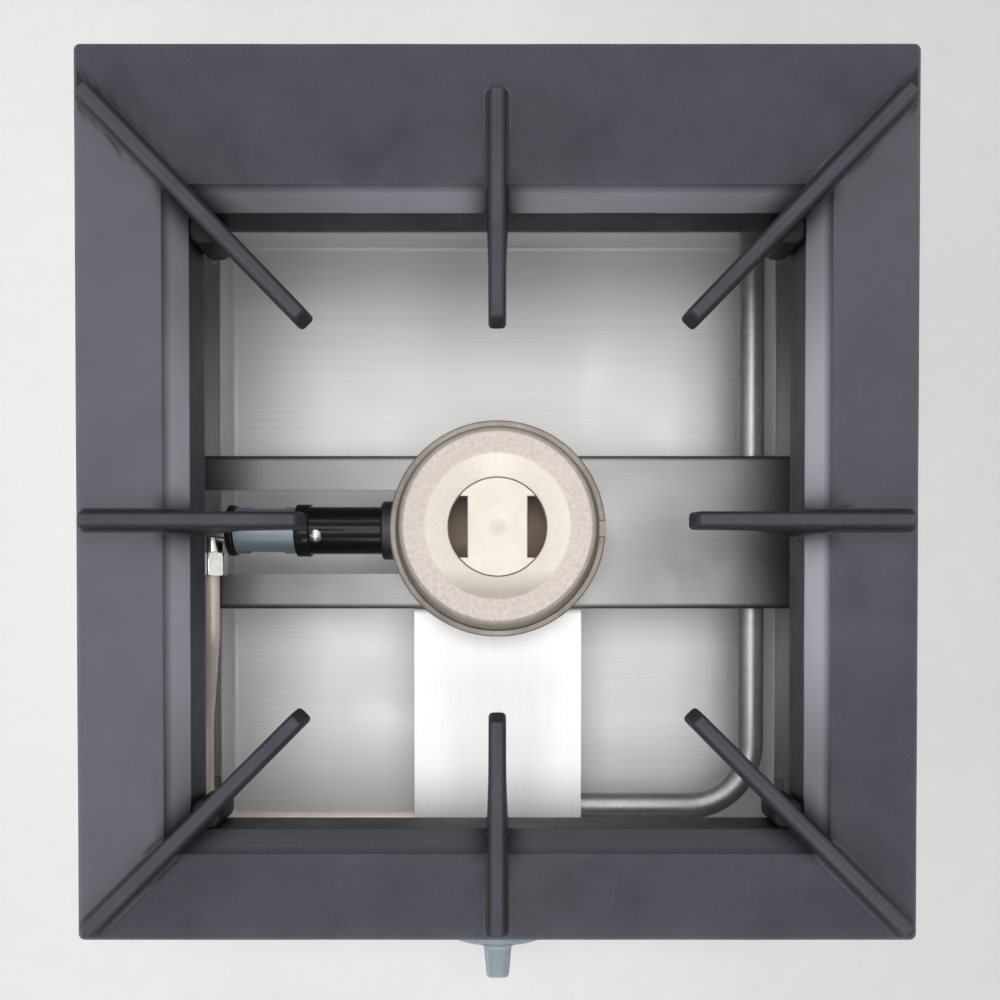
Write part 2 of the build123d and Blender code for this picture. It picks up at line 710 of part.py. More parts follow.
def inlet_fitting():
    """Bulkhead fitting with a half-inch male thread behind the rear panel."""
    origin = (pipe_x, body_rear, tap_z)
    tip = body_rear + inlet_flange + inlet_thread_length
    fitting = hexagon(inlet_flange_flats, origin, (pipe_x, body_rear + inlet_flange, tap_z))
    fitting += rod(inlet_thread, (pipe_x, body_rear - inlet_inner, tap_z), (pipe_x, tip, tap_z))
    return fitting - rod(inlet_bore, (pipe_x, body_rear - inlet_inner, tap_z), (pipe_x, tip, tap_z))


def inlet_locknut():
    """Nut that clamps the bulkhead fitting to the rear panel from inside."""
    start = (pipe_x, body_rear - sheet, tap_z)
    return tube_nut(inlet_flange_flats, locknut_height, inlet_thread, start, (0, -1, 0))


def tap_outline(start, end):
    """Round plate with two screw ears, between two stations along Y."""
    plate = rod(tap_radius, (0, start, tap_z), (0, end, tap_z))
    for x in (-tap_ear_spacing / 2, tap_ear_spacing / 2):
        plate += rod(tap_ear_radius, (x, start, tap_z), (x, end, tap_z))
    half = tap_ear_spacing / 2
    plate += block((-half, start, tap_z - tap_ear_radius), (half, end, tap_z + tap_ear_radius))
    for x in (-tap_ear_spacing / 2, tap_ear_spacing / 2):
        plate -= rod(screw_radius + hole_slack, (x, start, tap_z), (x, end, tap_z))
    return plate


def tap_body():
    """Brass tap: tapered seat for the plug, spring chamber, inlet arm and outlet arm."""
    body = rod(tap_radius, (0, bonnet_y, tap_z), (0, tap_rear_y, tap_z))
    body += tap_outline(bonnet_y, bonnet_y + tap_flange)
    body += rod(inlet_arm_radius, (0, inlet_port_y, tap_z), (inlet_arm, inlet_port_y, tap_z))
    body += rod(outlet_arm_radius, (0, outlet_port_y, tap_z), (-outlet_arm, outlet_port_y, tap_z))
    front = plug_front_radius + turning_slack
    rear = plug_rear_radius + turning_slack
    end = plug_y + plug_length
    body -= turned([(0, bonnet_y), (chamber_radius, bonnet_y), (chamber_radius, plug_y), (front, plug_y),
                    (rear, end), (rear, end + seam), (0, end + seam)], (0, 0, tap_z), (0, 1, 0))
    body -= rod(port_radius, (0, inlet_port_y, tap_z), (inlet_arm, inlet_port_y, tap_z))
    return body - rod(port_radius, (0, outlet_port_y, tap_z), (-outlet_arm, outlet_port_y, tap_z))


def tap_plug():
    """Tapered plug that opens and shuts the ports, slotted for the spindle's tang."""
    end = plug_y + plug_length
    plug = turned([(0, plug_y), (plug_front_radius, plug_y), (plug_rear_radius, end), (0, end)],
                  (0, 0, tap_z), (0, 1, 0))
    plug -= rod(port_radius, (0, outlet_port_y, tap_z), (0, end, tap_z))
    for y in (inlet_port_y, outlet_port_y):
        plug -= rod(port_radius, (0, y, tap_z), (0, y, tap_z + tap_radius))
    slot_end = bonnet_y + spindle_collar_length + seam + tang_length + tang_room
    half_width = tang_width / 2 + turning_slack
    half_height = tang_height / 2 + turning_slack
    slot = block((-half_width, plug_y, tap_z - half_height), (half_width, slot_end, tap_z + half_height))
    return plug - slot


def tap_bonnet():
    """Cover that closes the spring chamber and bolts the tap behind the front panel."""
    bonnet = tap_outline(panel_inner_y, bonnet_y)
    return bonnet - rod(spindle_radius + turning_slack, (0, panel_inner_y, tap_z), (0, bonnet_y, tap_z))


def tap_screws():
    """Screws through the front panel, the bonnet and the tap's ears."""
    reach = sheet + bonnet_thickness + tap_flange
    return group([screw(screw_head, tap_screw_head, screw_radius, reach, (x, body_front, tap_z), (0, 1, 0))
                  for x in (-tap_ear_spacing / 2, tap_ear_spacing / 2)])


def tap_spindle():
    """D-ended spindle with a spring collar and a flat tang in the plug's slot."""
    collar_start = bonnet_y + seam
    collar_end = collar_start + spindle_collar_length
    tip = knob_rear_y - knob_bore_depth + 2 * seam
    shaft = rod(spindle_radius, (0, tip, tap_z), (0, collar_start, tap_z))
    shaft -= block((-spindle_radius, tip, tap_z + spindle_flat),
                   (spindle_radius, body_front, tap_z + spindle_radius))
    shaft += rod(spindle_collar, (0, collar_start, tap_z), (0, collar_end, tap_z))
    return shaft + block((-tang_width / 2, collar_end, tap_z - tang_height / 2),
                         (tang_width / 2, collar_end + tang_length, tap_z + tang_height / 2))


def tap_spring():
    """Coil spring between the spindle's collar and the plug."""
    start = bonnet_y + seam + spindle_collar_length + spring_wire + seam / 2
    end = plug_y - spring_wire - seam / 2
    coil = Helix((end - start) / spring_turns, end - start, spring_radius)
    section = Plane(origin=coil @ 0, z_dir=coil % 0) * Circle(spring_wire)
    wire = sweep(section, coil, is_frenet=True)
    return Plane(origin=(0, start, tap_z), z_dir=(0, 1, 0)) * wire


def knob_bezel():
    """Thin round dial plate on the front panel behind the knob."""
    face_y = body_front - bezel_thickness
    bezel = rod(bezel_radius, (0, face_y, tap_z), (0, body_front, tap_z))
    bezel -= rod(knob_hole, (0, face_y, tap_z), (0, body_front, tap_z))
    for x in (-tap_ear_spacing / 2, tap_ear_spacing / 2):
        bezel -= rod(screw_head + hole_slack, (x, face_y, tap_z), (x, body_front, tap_z))
    return bezel


def knob():
    """Round-skirted knob with an upright grip, hollow behind, on the spindle's D."""
    depth = knob_skirt
    skirt = turned([(0, 0), (knob_radius, 0), (knob_face_radius, depth), (0, depth)])
    skirt = fillet(skirt.faces().sort_by(Axis.Z)[-1].edges(), knob_edge)
    grip_foot = Pos(0, 0, depth) * SlotOverall(grip_height, grip_width, rotation=90)
    grip = extrude(grip_foot, grip_rise, taper=grip_taper)
    grip = fillet(grip.faces().sort_by(Axis.Z)[-1].edges(), grip_edge)
    recess = turned([(knob_boss, 0), (knob_radius - knob_shell, 0),
                     (knob_radius - knob_shell, knob_recess), (knob_boss, knob_recess)])
    bore = rod(spindle_radius + turning_slack, (0, 0, 0), (0, 0, knob_bore_depth))
    reach = spindle_radius + turning_slack
    flat = block((-reach, spindle_flat + turning_slack, 0), (reach, reach, knob_bore_depth))
    shape = skirt + grip - recess - (bore - flat)
    return Plane(origin=(0, knob_rear_y, tap_z), x_dir=(1, 0, 0), z_dir=(0, -1, 0)) * shape


def nodes():
    """Every node of the hob by name."""
    panel_screws = [screw(screw_head, screw_head_height, screw_radius, screw_reach, *place)
                    for place in panel_screw_seats()]
    bar_screws = [screw(screw_head, screw_head_height, screw_radius, screw_reach, *place)
                  for place in bar_screw_seats()]
    shield_screws = [screw(shield_screw_head, screw_head_height, screw_radius, screw_reach, *place)
                     for place in shield_screw_seats()]
    bolts = [burner_bolt_solid(y) for y in (-burner_bolt_spacing / 2, burner_bolt_spacing / 2)]
    return {
        "pan_support": pan_support(),
        "front_panel": front_panel(),
        "rear_panel": rear_panel(),
        "side_panel_left": side_panel(-1),
        "side_panel_right": side_panel(1),
        "corner_posts": group([corner_post(side, end) for side, end in POSTS]),
        "panel_screws": group(panel_screws),
        "rubber_feet": group([rubber_foot(x, y) for x, y in FEET]),
        "foot_screws": group([foot_screw_solid(x, y) for x, y in FEET]),
        "foot_nuts": group([foot_nut(x, y) for x, y in FEET]),
        "drip_tray": drip_tray(),
        "cross_bar": cross_bar(),
        "cross_bar_screws": group(bar_screws),
        "heat_shield": heat_shield(),
        "shield_screws": group(shield_screws),
        "burner_bowl": burner_bowl(),
        "burner_bolts": group(bolts),
        "burner_cap": burner_cap(),
        "burner_centre_disc": burner_centre_disc(),
        "mixing_tube": mixing_tube(),
        "shutter_lock_screw": shutter_lock_screw(),
        "air_shutter": air_shutter(),
        "injector_flange": injector_flange(),
        "injector": injector(),
        "injector_elbow": injector_elbow(),
        "tube_nuts": tube_nuts(),
        "copper_feed_tube": copper_feed_tube(),
        "supply_pipe": supply_pipe(),
        "pipe_nuts": pipe_nuts(),
        "inlet_fitting": inlet_fitting(),
        "inlet_locknut": inlet_locknut(),
        "tap_body": tap_body(),
        "tap_plug": tap_plug(),
        "tap_bonnet": tap_bonnet(),
        "tap_screws": tap_screws(),
        "tap_spindle": tap_spindle(),
        "tap_spring": tap_spring(),
        "knob_bezel": knob_bezel(),
        "knob": knob(),
    }


os.makedirs("parts", exist_ok=True)
for name, shape in nodes().items():
    export_step(shape, f"parts/{name}.step")
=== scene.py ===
# %% [markdown]
# # Dressing a tabletop gas hob
# The real hob is a cast-iron pan support over one round burner, in a folded stainless body with a drip tray
# and a front tap. Its construction comes packed from CAD, with every piece at its real size and place.
# One could model the looks apart and fit them on later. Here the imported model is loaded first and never
# moved, so each finer surface is worked out straight from the places that it gives.

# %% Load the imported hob
import json
from math import pi, radians, sqrt, tan

import bmesh
import bpy
import numpy as np
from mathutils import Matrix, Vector


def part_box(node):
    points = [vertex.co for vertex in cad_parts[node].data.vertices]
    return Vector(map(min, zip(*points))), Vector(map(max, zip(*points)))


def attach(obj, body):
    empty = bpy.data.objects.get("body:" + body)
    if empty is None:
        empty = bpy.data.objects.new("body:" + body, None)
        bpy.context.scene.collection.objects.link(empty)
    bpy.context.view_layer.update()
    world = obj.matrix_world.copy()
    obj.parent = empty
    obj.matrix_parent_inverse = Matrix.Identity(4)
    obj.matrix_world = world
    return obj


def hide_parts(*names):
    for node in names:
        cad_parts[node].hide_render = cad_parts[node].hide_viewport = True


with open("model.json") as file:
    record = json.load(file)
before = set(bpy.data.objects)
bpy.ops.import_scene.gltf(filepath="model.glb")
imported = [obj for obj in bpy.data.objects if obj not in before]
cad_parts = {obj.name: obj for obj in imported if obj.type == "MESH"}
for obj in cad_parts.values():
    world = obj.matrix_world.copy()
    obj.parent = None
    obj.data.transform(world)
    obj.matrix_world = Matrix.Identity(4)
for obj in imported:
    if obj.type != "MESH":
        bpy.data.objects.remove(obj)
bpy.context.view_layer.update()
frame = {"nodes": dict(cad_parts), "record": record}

mm = 0.001
record = frame["record"]
node_slot = {part["node"]: part["material_slot"] for part in record["subparts"]}
node_body = {node: body for body, nodes in record["behaviour"]["bodies"].items() for node in nodes}

# %% [markdown]
# ## Camera
# The picture is taken from straight above the hob, a little towards the front. Tilting a camera would make
# the upright walls lean apart, so the lens looks down and its frame is shifted instead, as on a copy stand.

# %% Overhead camera
picture_px = 1000.0
focal_px = 1018.0
plumb_px = (500.2, 607.4)           # where the plumb line under the lens meets the picture
camera_place = Vector((1.4, -34.5, 682.2)) * mm
camera_tilt = -0.784                # degrees
sensor_width = 36.0

scene = bpy.context.scene
lens = bpy.data.cameras.new("overhead_camera")
lens.sensor_width = sensor_width
lens.lens = sensor_width * focal_px / picture_px
lens.shift_x = 0.5 - plumb_px[0] / picture_px
lens.shift_y = plumb_px[1] / picture_px - 0.5
camera = bpy.data.objects.new("overhead_camera", lens)
camera.location = camera_place
camera.rotation_euler = (radians(camera_tilt), 0, 0)
scene.collection.objects.link(camera)
scene.camera = camera
print("camera", tuple(round(value, 4) for value in camera.location), "lens", round(lens.lens, 2))

# %% [markdown]
# ## Light
# A studio lights a hob from a panel overhead, which reaches down between the walls to the tray, and from
# wide softboxes far off at the sides, which graze the flat faces and strike the slopes. The panel alone
# would leave the slopes flat. The left softbox is the strongest, as the photo shows. A high one in front
# draws the bright line along the black tube, and a high one behind reaches under the front wall.

# %% Overhead panel and far softboxes
white = (1.0, 1.0, 1.0, 1.0)
room_light = 0.30
aim = Vector((0.0, 0.0, 200.0)) * mm
lamps = {
    "top_panel": ((0, 60, 2600), (1500, 1500), 48.0),
    "left_softbox": ((-4000, -250, 880), (4000, 700), 155.0),
    "right_softbox": ((4000, 700, 840), (3600, 650), 85.0),
    "front_softbox": ((-100, -4000, 800), (3600, 650), 72.0),
    "high_softbox": ((0, -1700, 1750), (900, 500), 10.0),
    "rear_softbox": ((0, 1800, 2000), (1500, 700), 12.0),
}


def add_node(tree, kind, inputs=None, **settings):
    """Adds a shader node; inputs are values or other nodes' outputs, by socket name or number."""
    made = tree.nodes.new(kind)
    for key, value in settings.items():
        setattr(made, key, value)
    for key, value in (inputs or {}).items():
        if isinstance(value, bpy.types.NodeSocket):
            tree.links.new(value, made.inputs[key])
        else:
            made.inputs[key].default_value = value
    return made


def maths(tree, operation, first, second, **settings):
    """Output of a Math node on two values."""
    inputs = {0: first, 1: second}
    return add_node(tree, "ShaderNodeMath", inputs, operation=operation, **settings).outputs[0]


def background_rays(tree):
    """One for the rays that show a background: straight from the camera, mirrored, or through glass."""
    ray = add_node(tree, "ShaderNodeLightPath").outputs
    seen = maths(tree, "MAXIMUM", ray["Is Camera Ray"], ray["Is Glossy Ray"])
    return maths(tree, "MAXIMUM", seen, ray["Is Transmission Ray"])


scene.view_settings.view_transform = "Standard"
scene.world = bpy.data.worlds.new("white_room")
scene.world.use_nodes = True
room = scene.world.node_tree
room.nodes.clear()
strength = add_node(room, "ShaderNodeMapRange",
                    {"Value": background_rays(room), "To Min": room_light, "To Max": 1.0})
walls = add_node(room, "ShaderNodeBackground", {"Color": white, "Strength": strength.outputs[0]})
add_node(room, "ShaderNodeOutputWorld", {"Surface": walls.outputs[0]})

for name, (place, size, power) in lamps.items():
    lamp = bpy.data.lights.new(name, "AREA")
    lamp.shape = "RECTANGLE"
    lamp.size, lamp.size_y = (side * mm for side in size)
    lamp.energy = power
    holder = bpy.data.objects.new(name, lamp)
    holder.location = Vector(place) * mm
    holder.rotation_euler = (aim - holder.location).to_track_quat("-Z", "Y").to_euler()
    scene.collection.objects.link(holder)
print("room light", room_light, "and", len(lamps), "lamps")

# %% [markdown]
# ## Shared surface effects
# Several finishes share an effect. Castings have a grained skin, rolled sheet has lines from the brush, and
# everything that hands touch has smudges. Each effect is built once as a node group with named sockets and
# then set up in each material with its own sizes, the way a workshop uses one wheel on many pieces.

# %% Node groups for cast skin, brush lines, smudges and worn edges
number, vector = "NodeSocketFloat", "NodeSocketVector"
patch_scale = 0.045                 # broad patches, as a share of the grain's fineness


def new_group(name, inputs, outputs):
    """Empty shader node group with named sockets: its tree, what it is given and what it puts out."""
    tree = bpy.data.node_groups.new(name, "ShaderNodeTree")
    for socket, kind in inputs.items():
        tree.interface.new_socket(name=socket, in_out="INPUT", socket_type=kind)
    for socket in outputs:
        tree.interface.new_socket(name=socket, in_out="OUTPUT", socket_type=number)
    return tree, add_node(tree, "NodeGroupInput").outputs, add_node(tree, "NodeGroupOutput").inputs


def noise(tree, place, scale, detail, rough=0.5, bend=0.0):
    """Output of a noise texture; bend distorts its patches."""
    inputs = {"Vector": place, "Scale": scale, "Detail": detail, "Roughness": rough, "Distortion": bend}
    return add_node(tree, "ShaderNodeTexNoise", inputs).outputs[0]


def distance(tree, place):
    """Output with the length of a vector."""
    return add_node(tree, "ShaderNodeVectorMath", {0: place}, operation="LENGTH").outputs["Value"]


def share_between(tree, value, low, high):
    """Output that runs from 0 to 1 as value runs from low to high."""
    inputs = {"Value": value, "From Min": low, "From Max": high}
    return add_node(tree, "ShaderNodeMapRange", inputs).outputs[0]


def cast_skin_group():
    """Height of a sand-cast skin, from fine grain and small pits, and its tone, partly in broad patches."""
    tree, given, out = new_group("cast_skin", {"Vector": vector, "Grain": number, "Broad": number},
                                 ("Height", "Tone"))
    grain = noise(tree, given["Vector"], given["Grain"], detail=5.0, rough=0.62)
    pits = add_node(tree, "ShaderNodeTexVoronoi", {"Vector": given["Vector"], "Scale": given["Grain"]},
                    feature="SMOOTH_F1")
    broad = maths(tree, "MULTIPLY", given["Grain"], patch_scale)
    patches = noise(tree, given["Vector"], broad, detail=4.0, rough=0.7)
    tone = add_node(tree, "ShaderNodeMix", {0: given["Broad"], 2: grain, 3: patches})
    tree.links.new(maths(tree, "MULTIPLY", grain, pits.outputs["Distance"]), out["Height"])
    tree.links.new(tone.outputs[0], out["Tone"])
    return tree


def brush_group():
    """Fine lines left by brushing: noise squeezed across the lines and drawn out along them."""
    tree, given, out = new_group("brush_lines", {"Vector": vector, "Squeeze": vector}, ("Lines",))
    drawn = add_node(tree, "ShaderNodeMapping", {"Vector": given["Vector"], "Scale": given["Squeeze"]})
    tree.links.new(noise(tree, drawn.outputs[0], scale=1.0, detail=3.0, rough=0.7), out["Lines"])
    return tree


def smudge_group():
    """Wiped patches: slow, bent noise that lifts the roughness here and there."""
    tree, given, out = new_group("smudges", {"Vector": vector, "Size": number}, ("Smudge",))
    patch = noise(tree, given["Vector"], given["Size"], detail=3.0, rough=0.55, bend=0.8)
    tree.links.new(share_between(tree, patch, low=0.35, high=0.7), out["Smudge"])
    return tree


def worn_group():
    """Rubbed edges, faces that are ground and carry painted light, and faces with soot and painted shade:
    the mesh's attributes, the first broken up by a fine noise.
    """
    tree, given, out = new_group("worn_edges", {"Vector": vector, "Break": number},
                                 ("Worn", "Ground_and_painted_light", "Soot_and_painted_shade"))
    worn, ground_and_painted_light, soot_and_painted_shade = (add_node(tree, "ShaderNodeAttribute", attribute_name=name).outputs["Fac"]
                          for name in ("worn", "ground_and_painted_light", "soot_and_painted_shade"))
    chips = noise(tree, given["Vector"], given["Break"], detail=3.0)
    tree.links.new(maths(tree, "MULTIPLY", worn, chips, use_clamp=True), out["Worn"])
    tree.links.new(ground_and_painted_light, out["Ground_and_painted_light"])
    tree.links.new(soot_and_painted_shade, out["Soot_and_painted_shade"])
    return tree


groups = {tree.name: tree for tree in (cast_skin_group(), brush_group(), smudge_group(), worn_group())}
print("effects:", ", ".join(groups))

# %% [markdown]
# ## Finishes
# Each material is one Principled shader. What is the same all over a finish, such as its metal or its coat,
# is set on the shader itself; what changes over the surface comes from the groups through colour ramps.
# Three recipes cover the hob: castings, bare or plated metal, and coated or moulded pieces.

# %% Recipes for finishes
tone_ends = (0.33, 0.67)            # a cast skin's tone where a ramp starts and ends
line_ends = (0.3, 0.7)
gloss_ends = (0.4, 1.0)
grains_per_chip = 4.0
peel_per_chip = 3.0
rough_spread = 0.08
smudge_spread = 0.12
brush_depth = 0.01


def effect(tree, name, inputs):
    """Outputs of one of the shared effects, placed in a material with its own values."""
    return add_node(tree, "ShaderNodeGroup", inputs, node_tree=groups[name]).outputs


def ramp(tree, value, low, high, start=0.0, end=1.0):
    """Colour, or grey value, that runs from low to high as value runs from start to end."""
    made = add_node(tree, "ShaderNodeValToRGB", {"Fac": value})
    for stop, place, shade in zip(made.color_ramp.elements, (start, end), (low, high)):
        stop.position = place
        stop.color = (*shade, 1.0) if hasattr(shade, "__len__") else (shade, shade, shade, 1.0)
    return made.outputs["Color"]


def blend(tree, share, first, second, **settings):
    """Colour that goes from the first to the second as share grows."""
    inputs = {0: share, 6: first, 7: second}
    return add_node(tree, "ShaderNodeMix", inputs, data_type="RGBA", **settings).outputs[2]


def start_finish(name, constants):
    """New material: its tree, its Principled shader with its constants set, and Object coordinates."""
    material = bpy.data.materials.new(name)
    material.use_nodes = True
    tree = material.node_tree
    shader = tree.nodes["Principled BSDF"]
    for socket, value in constants.items():
        shader.inputs[socket].default_value = value
    return material, tree, shader, add_node(tree, "ShaderNodeTexCoord").outputs["Object"]


def end_finish(tree, shader, colour, gloss, height, depth, share):
    """Links colour, roughness and a bump of a real depth in millimetres, of which a share shows."""
    bump = add_node(tree, "ShaderNodeBump", {"Height": height, "Distance": depth * mm, "Strength": share})
    tree.links.new(colour, shader.inputs["Base Color"])
    tree.links.new(gloss, shader.inputs["Roughness"])
    tree.links.new(bump.outputs[0], shader.inputs["Normal"])


def casting(name, dark, light, worn, soot_and_painted_shade, grain, rough, depth, constants):
    """Sand-cast metal: grained skin, uneven tone, bare edges, faces ground bare and lifted by painted light,
    and faces darkened by soot from the flames and by painted shade.
    """
    material, tree, shader, place = start_finish(name, constants)
    skin = effect(tree, "cast_skin", {"Vector": place, "Grain": grain, "Broad": 0.75})
    edge = effect(tree, "worn_edges", {"Vector": place, "Break": grain / grains_per_chip})
    colour = ramp(tree, skin["Tone"], dark, light, *tone_ends)
    # Worn edges, ground faces and painted light take the worn colour; soot and painted shade take the dark
    # one.
    colour = blend(tree, maths(tree, "MAXIMUM", edge["Worn"], edge["Ground_and_painted_light"]), colour, (*worn, 1.0))
    colour = blend(tree, edge["Soot_and_painted_shade"], colour, (*soot_and_painted_shade, 1.0))
    gloss = ramp(tree, skin["Tone"], rough + rough_spread, rough - rough_spread, *tone_ends)
    end_finish(tree, shader, colour, gloss, skin["Height"], depth, share=0.5)
    return material


def bare_metal(name, dark, light, rough, squeeze, metallic=1.0):
    """Rolled, drawn or plated metal: brush lines in tone, roughness and height, and wiped patches."""
    material, tree, shader, place = start_finish(name, {"Metallic": metallic})
    lines = effect(tree, "brush_lines", {"Vector": place, "Squeeze": squeeze})["Lines"]
    smudge = effect(tree, "smudges", {"Vector": place, "Size": 14.0})["Smudge"]
    colour = ramp(tree, lines, dark, light, *line_ends)
    gloss = ramp(tree, maths(tree, "ADD", smudge, lines), rough, rough + rough_spread, *gloss_ends)
    end_finish(tree, shader, colour, gloss, lines, brush_depth, share=0.35)
    return material


def coated(name, dark, light, worn, rough, peel, depth, specular=0.5):
    """Enamel, rubber or moulded plastic: orange-peel skin, smudged gloss and paler edges."""
    material, tree, shader, place = start_finish(name, {"Specular IOR Level": specular})
    skin = effect(tree, "cast_skin", {"Vector": place, "Grain": peel, "Broad": 0.5})
    smudge = effect(tree, "smudges", {"Vector": place, "Size": 40.0})["Smudge"]
    edge = effect(tree, "worn_edges", {"Vector": place, "Break": peel / peel_per_chip})["Worn"]
    colour = blend(tree, edge, ramp(tree, skin["Tone"], dark, light, *tone_ends), (*worn, 1.0))
    gloss = ramp(tree, smudge, rough, rough + smudge_spread)
    end_finish(tree, shader, colour, gloss, skin["Height"], depth, share=0.4)
    return material


print("recipes: casting, bare_metal, coated")

# %% [markdown]
# ### Burner cap
# The cap is a blasted casting: its flat ring is coarse and sparkles, the dish inside it was turned smooth
# and is paler, and its foot is brown from the flames. Three materials would leave hard seams, so one
# material blends all of them by the distance from the burner's axis, which is the frame's own Z axis.

# %% Finish of the burner cap
dish_edge = 37.5
edge_inner, edge_outer = 0.6, 0.4
dish_rough, ring_rough = 0.42, 0.55
burnt_from, burnt_to = 49.5, 52.5
# Painted shade on the dish: darker from 22 to 34 mm in front of the axis.
painted_shade_from, painted_shade_to = 22.0, 34.0
dish_shades = ((0.625, 0.575, 0.522), (0.685, 0.632, 0.58))
ring_shades = ((0.36, 0.32, 0.292), (0.50, 0.447, 0.413))
foot_shades = ((0.20, 0.17, 0.145), (0.30, 0.256, 0.22))
painted_shade_colour = (0.37, 0.33, 0.288, 1.0)


def cap_finish(name):
    """Smooth pale dish, darkened towards the front by painted shade, coarse ring and brown foot, by the
    distance from the axis.
    """
    material, tree, shader, place = start_finish(name, {"Metallic": 0.15})
    level = add_node(tree, "ShaderNodeVectorMath", {0: place, 1: (1.0, 1.0, 0.0)}, operation="MULTIPLY")
    radius = distance(tree, level.outputs[0])
    forward = add_node(tree, "ShaderNodeSeparateXYZ", {0: place}).outputs["Y"]
    ring = share_between(tree, radius, (dish_edge - edge_inner) * mm, (dish_edge + edge_outer) * mm)
    foot = share_between(tree, radius, burnt_from * mm, burnt_to * mm)
    painted_shade = share_between(tree, forward, -painted_shade_from * mm, -painted_shade_to * mm)
    skin = effect(tree, "cast_skin", {"Vector": place, "Grain": 420.0, "Broad": 0.25})
    smooth, coarse, burnt = (ramp(tree, skin["Tone"], *shades, *tone_ends)
                             for shades in (dish_shades, ring_shades, foot_shades))
    colour = blend(tree, ring, blend(tree, painted_shade, smooth, painted_shade_colour), coarse)
    colour = blend(tree, foot, colour, burnt)
    grain = maths(tree, "MULTIPLY", skin["Height"], ring)
    end_finish(tree, shader, colour, ramp(tree, ring, dish_rough, ring_rough), grain, depth=0.4, share=0.6)
    return material


print("cap blends at radii", dish_edge, burnt_from, burnt_to)

# %% [markdown]
# ### A finish for every slot
# Sheet was brushed along its length, and pipes, nuts and screws were drawn or turned. Each slot of the
# record could be written out by itself; a table of recipes keeps their values side by side instead. The bar
# carries a painted reflection, brightest beside the burner and darker towards both ends, and the floor a
# painted shade, darker towards the right; a ramp along X multiplies their colour.

# %% Finishes by slot
along_x = (6.0, 900.0, 900.0)
along_y = (900.0, 6.0, 900.0)
level_lines = (8.0, 8.0, 1400.0)
round_lines = (300.0, 300.0, 300.0)
shade_reach = 400.0
# Painted reflection on the bar: brightest beside the burner, darker towards both ends.
bar_painted_reflection_stops = [(-130, 0.60), (-48, 1.0), (48, 1.0), (130, 0.65)]


def shaded_along_x(material, stops):
    """The same finish, its colour multiplied by greys that follow stops of (x in millimetres, grey); it
    paints light and shade along X.
    """
    tree = material.node_tree
    colour = tree.nodes["Principled BSDF"].inputs["Base Color"]
    place = add_node(tree, "ShaderNodeTexCoord").outputs["Object"]
    sideways = add_node(tree, "ShaderNodeSeparateXYZ", {0: place}).outputs["X"]
    share = share_between(tree, sideways, -shade_reach * mm, shade_reach * mm)
    shade = add_node(tree, "ShaderNodeValToRGB", {"Fac": share})
    for _ in stops[2:]:
        shade.color_ramp.elements.new(0.5)
    for stop, (x, grey) in zip(shade.color_ramp.elements, stops):
        stop.position = 0.5 + 0.5 * x / shade_reach
        stop.color = (grey, grey, grey, 1.0)
    plain = colour.links[0].from_socket
    tree.links.new(blend(tree, 1.0, plain, shade.outputs["Color"], blend_type="MULTIPLY"), colour)
    return material


# casting: dark, light and worn colour (the worn one also for ground faces and painted light), the colour of
# soot and painted shade, grain, roughness, depth, constants
# bare_metal: dark, light, roughness, squeeze of the brush lines, metallic
# coated: dark, light and worn colour, roughness, peel, depth, specular level
recipes = {
    "cast_iron": (casting, (0.0325, 0.0335, 0.0420), (0.0460, 0.0470, 0.0575), (0.210, 0.212, 0.238),
                  (0.010, 0.010, 0.0125), 700.0, 0.52, 0.15, {"Specular IOR Level": 0.12}),
    "body_steel": (bare_metal, (0.55, 0.55, 0.545), (0.64, 0.64, 0.635), 0.34, level_lines, 0.8),
    "tray_steel": (bare_metal, (0.66, 0.66, 0.655), (0.71, 0.71, 0.705), 0.52, along_x, 0.25),
    "bar_steel": (bare_metal, 0.13, 0.152, 0.34, along_x, 0.75),
    "bright_steel": (bare_metal, 0.85, 0.89, 0.42, along_y, 0.05),
    "rubber": (coated, (0.022, 0.022, 0.024), (0.040, 0.040, 0.042), (0.07, 0.07, 0.07), 0.62, 900.0, 0.2),
    "burner_cap": (cap_finish,),
    "burner_bowl": (casting, (0.145, 0.123, 0.103), (0.26, 0.224, 0.19), (0.19, 0.142, 0.104),
                    (0.008, 0.008, 0.009), 700.0, 0.5, 0.35, {"Metallic": 0.3}),
    "burner_disc": (casting, (0.50, 0.472, 0.41), (0.57, 0.54, 0.465), (0.59, 0.56, 0.49),
                    (0.4, 0.37, 0.33), 500.0, 0.45, 0.1, {"Metallic": 0.05}),
    "black_enamel": (coated, (0.004, 0.004, 0.005), (0.007, 0.007, 0.009), (0.03, 0.03, 0.033), 0.10,
                     400.0, 0.05, 0.09),
    "blue_zinc": (bare_metal, (0.125, 0.165, 0.19), (0.17, 0.215, 0.245), 0.30, along_x, 0.3),
    "nickel": (bare_metal, (0.66, 0.64, 0.60), (0.76, 0.74, 0.70), 0.14, round_lines),
    "copper": (bare_metal, (0.94, 0.78, 0.70), (0.97, 0.85, 0.79), 0.34, round_lines, 0.1),
    "brass": (bare_metal, (0.68, 0.52, 0.27), (0.80, 0.65, 0.38), 0.24, round_lines),
    "pipe_steel": (bare_metal, 0.28, 0.35, 0.40, round_lines, 0.85),
    "knob_plastic": (coated, (0.125, 0.155, 0.177), (0.155, 0.19, 0.213), (0.22, 0.263, 0.288), 0.30,
                     500.0, 0.08),
    "bezel": (bare_metal, 0.62, 0.72, 0.30, along_x),
    "fasteners": (bare_metal, 0.60, 0.72, 0.22, round_lines),
    "spring_steel": (bare_metal, 0.42, 0.52, 0.30, round_lines),
}
finishes = {name: recipe(name, *values) for name, (recipe, *values) in recipes.items()}
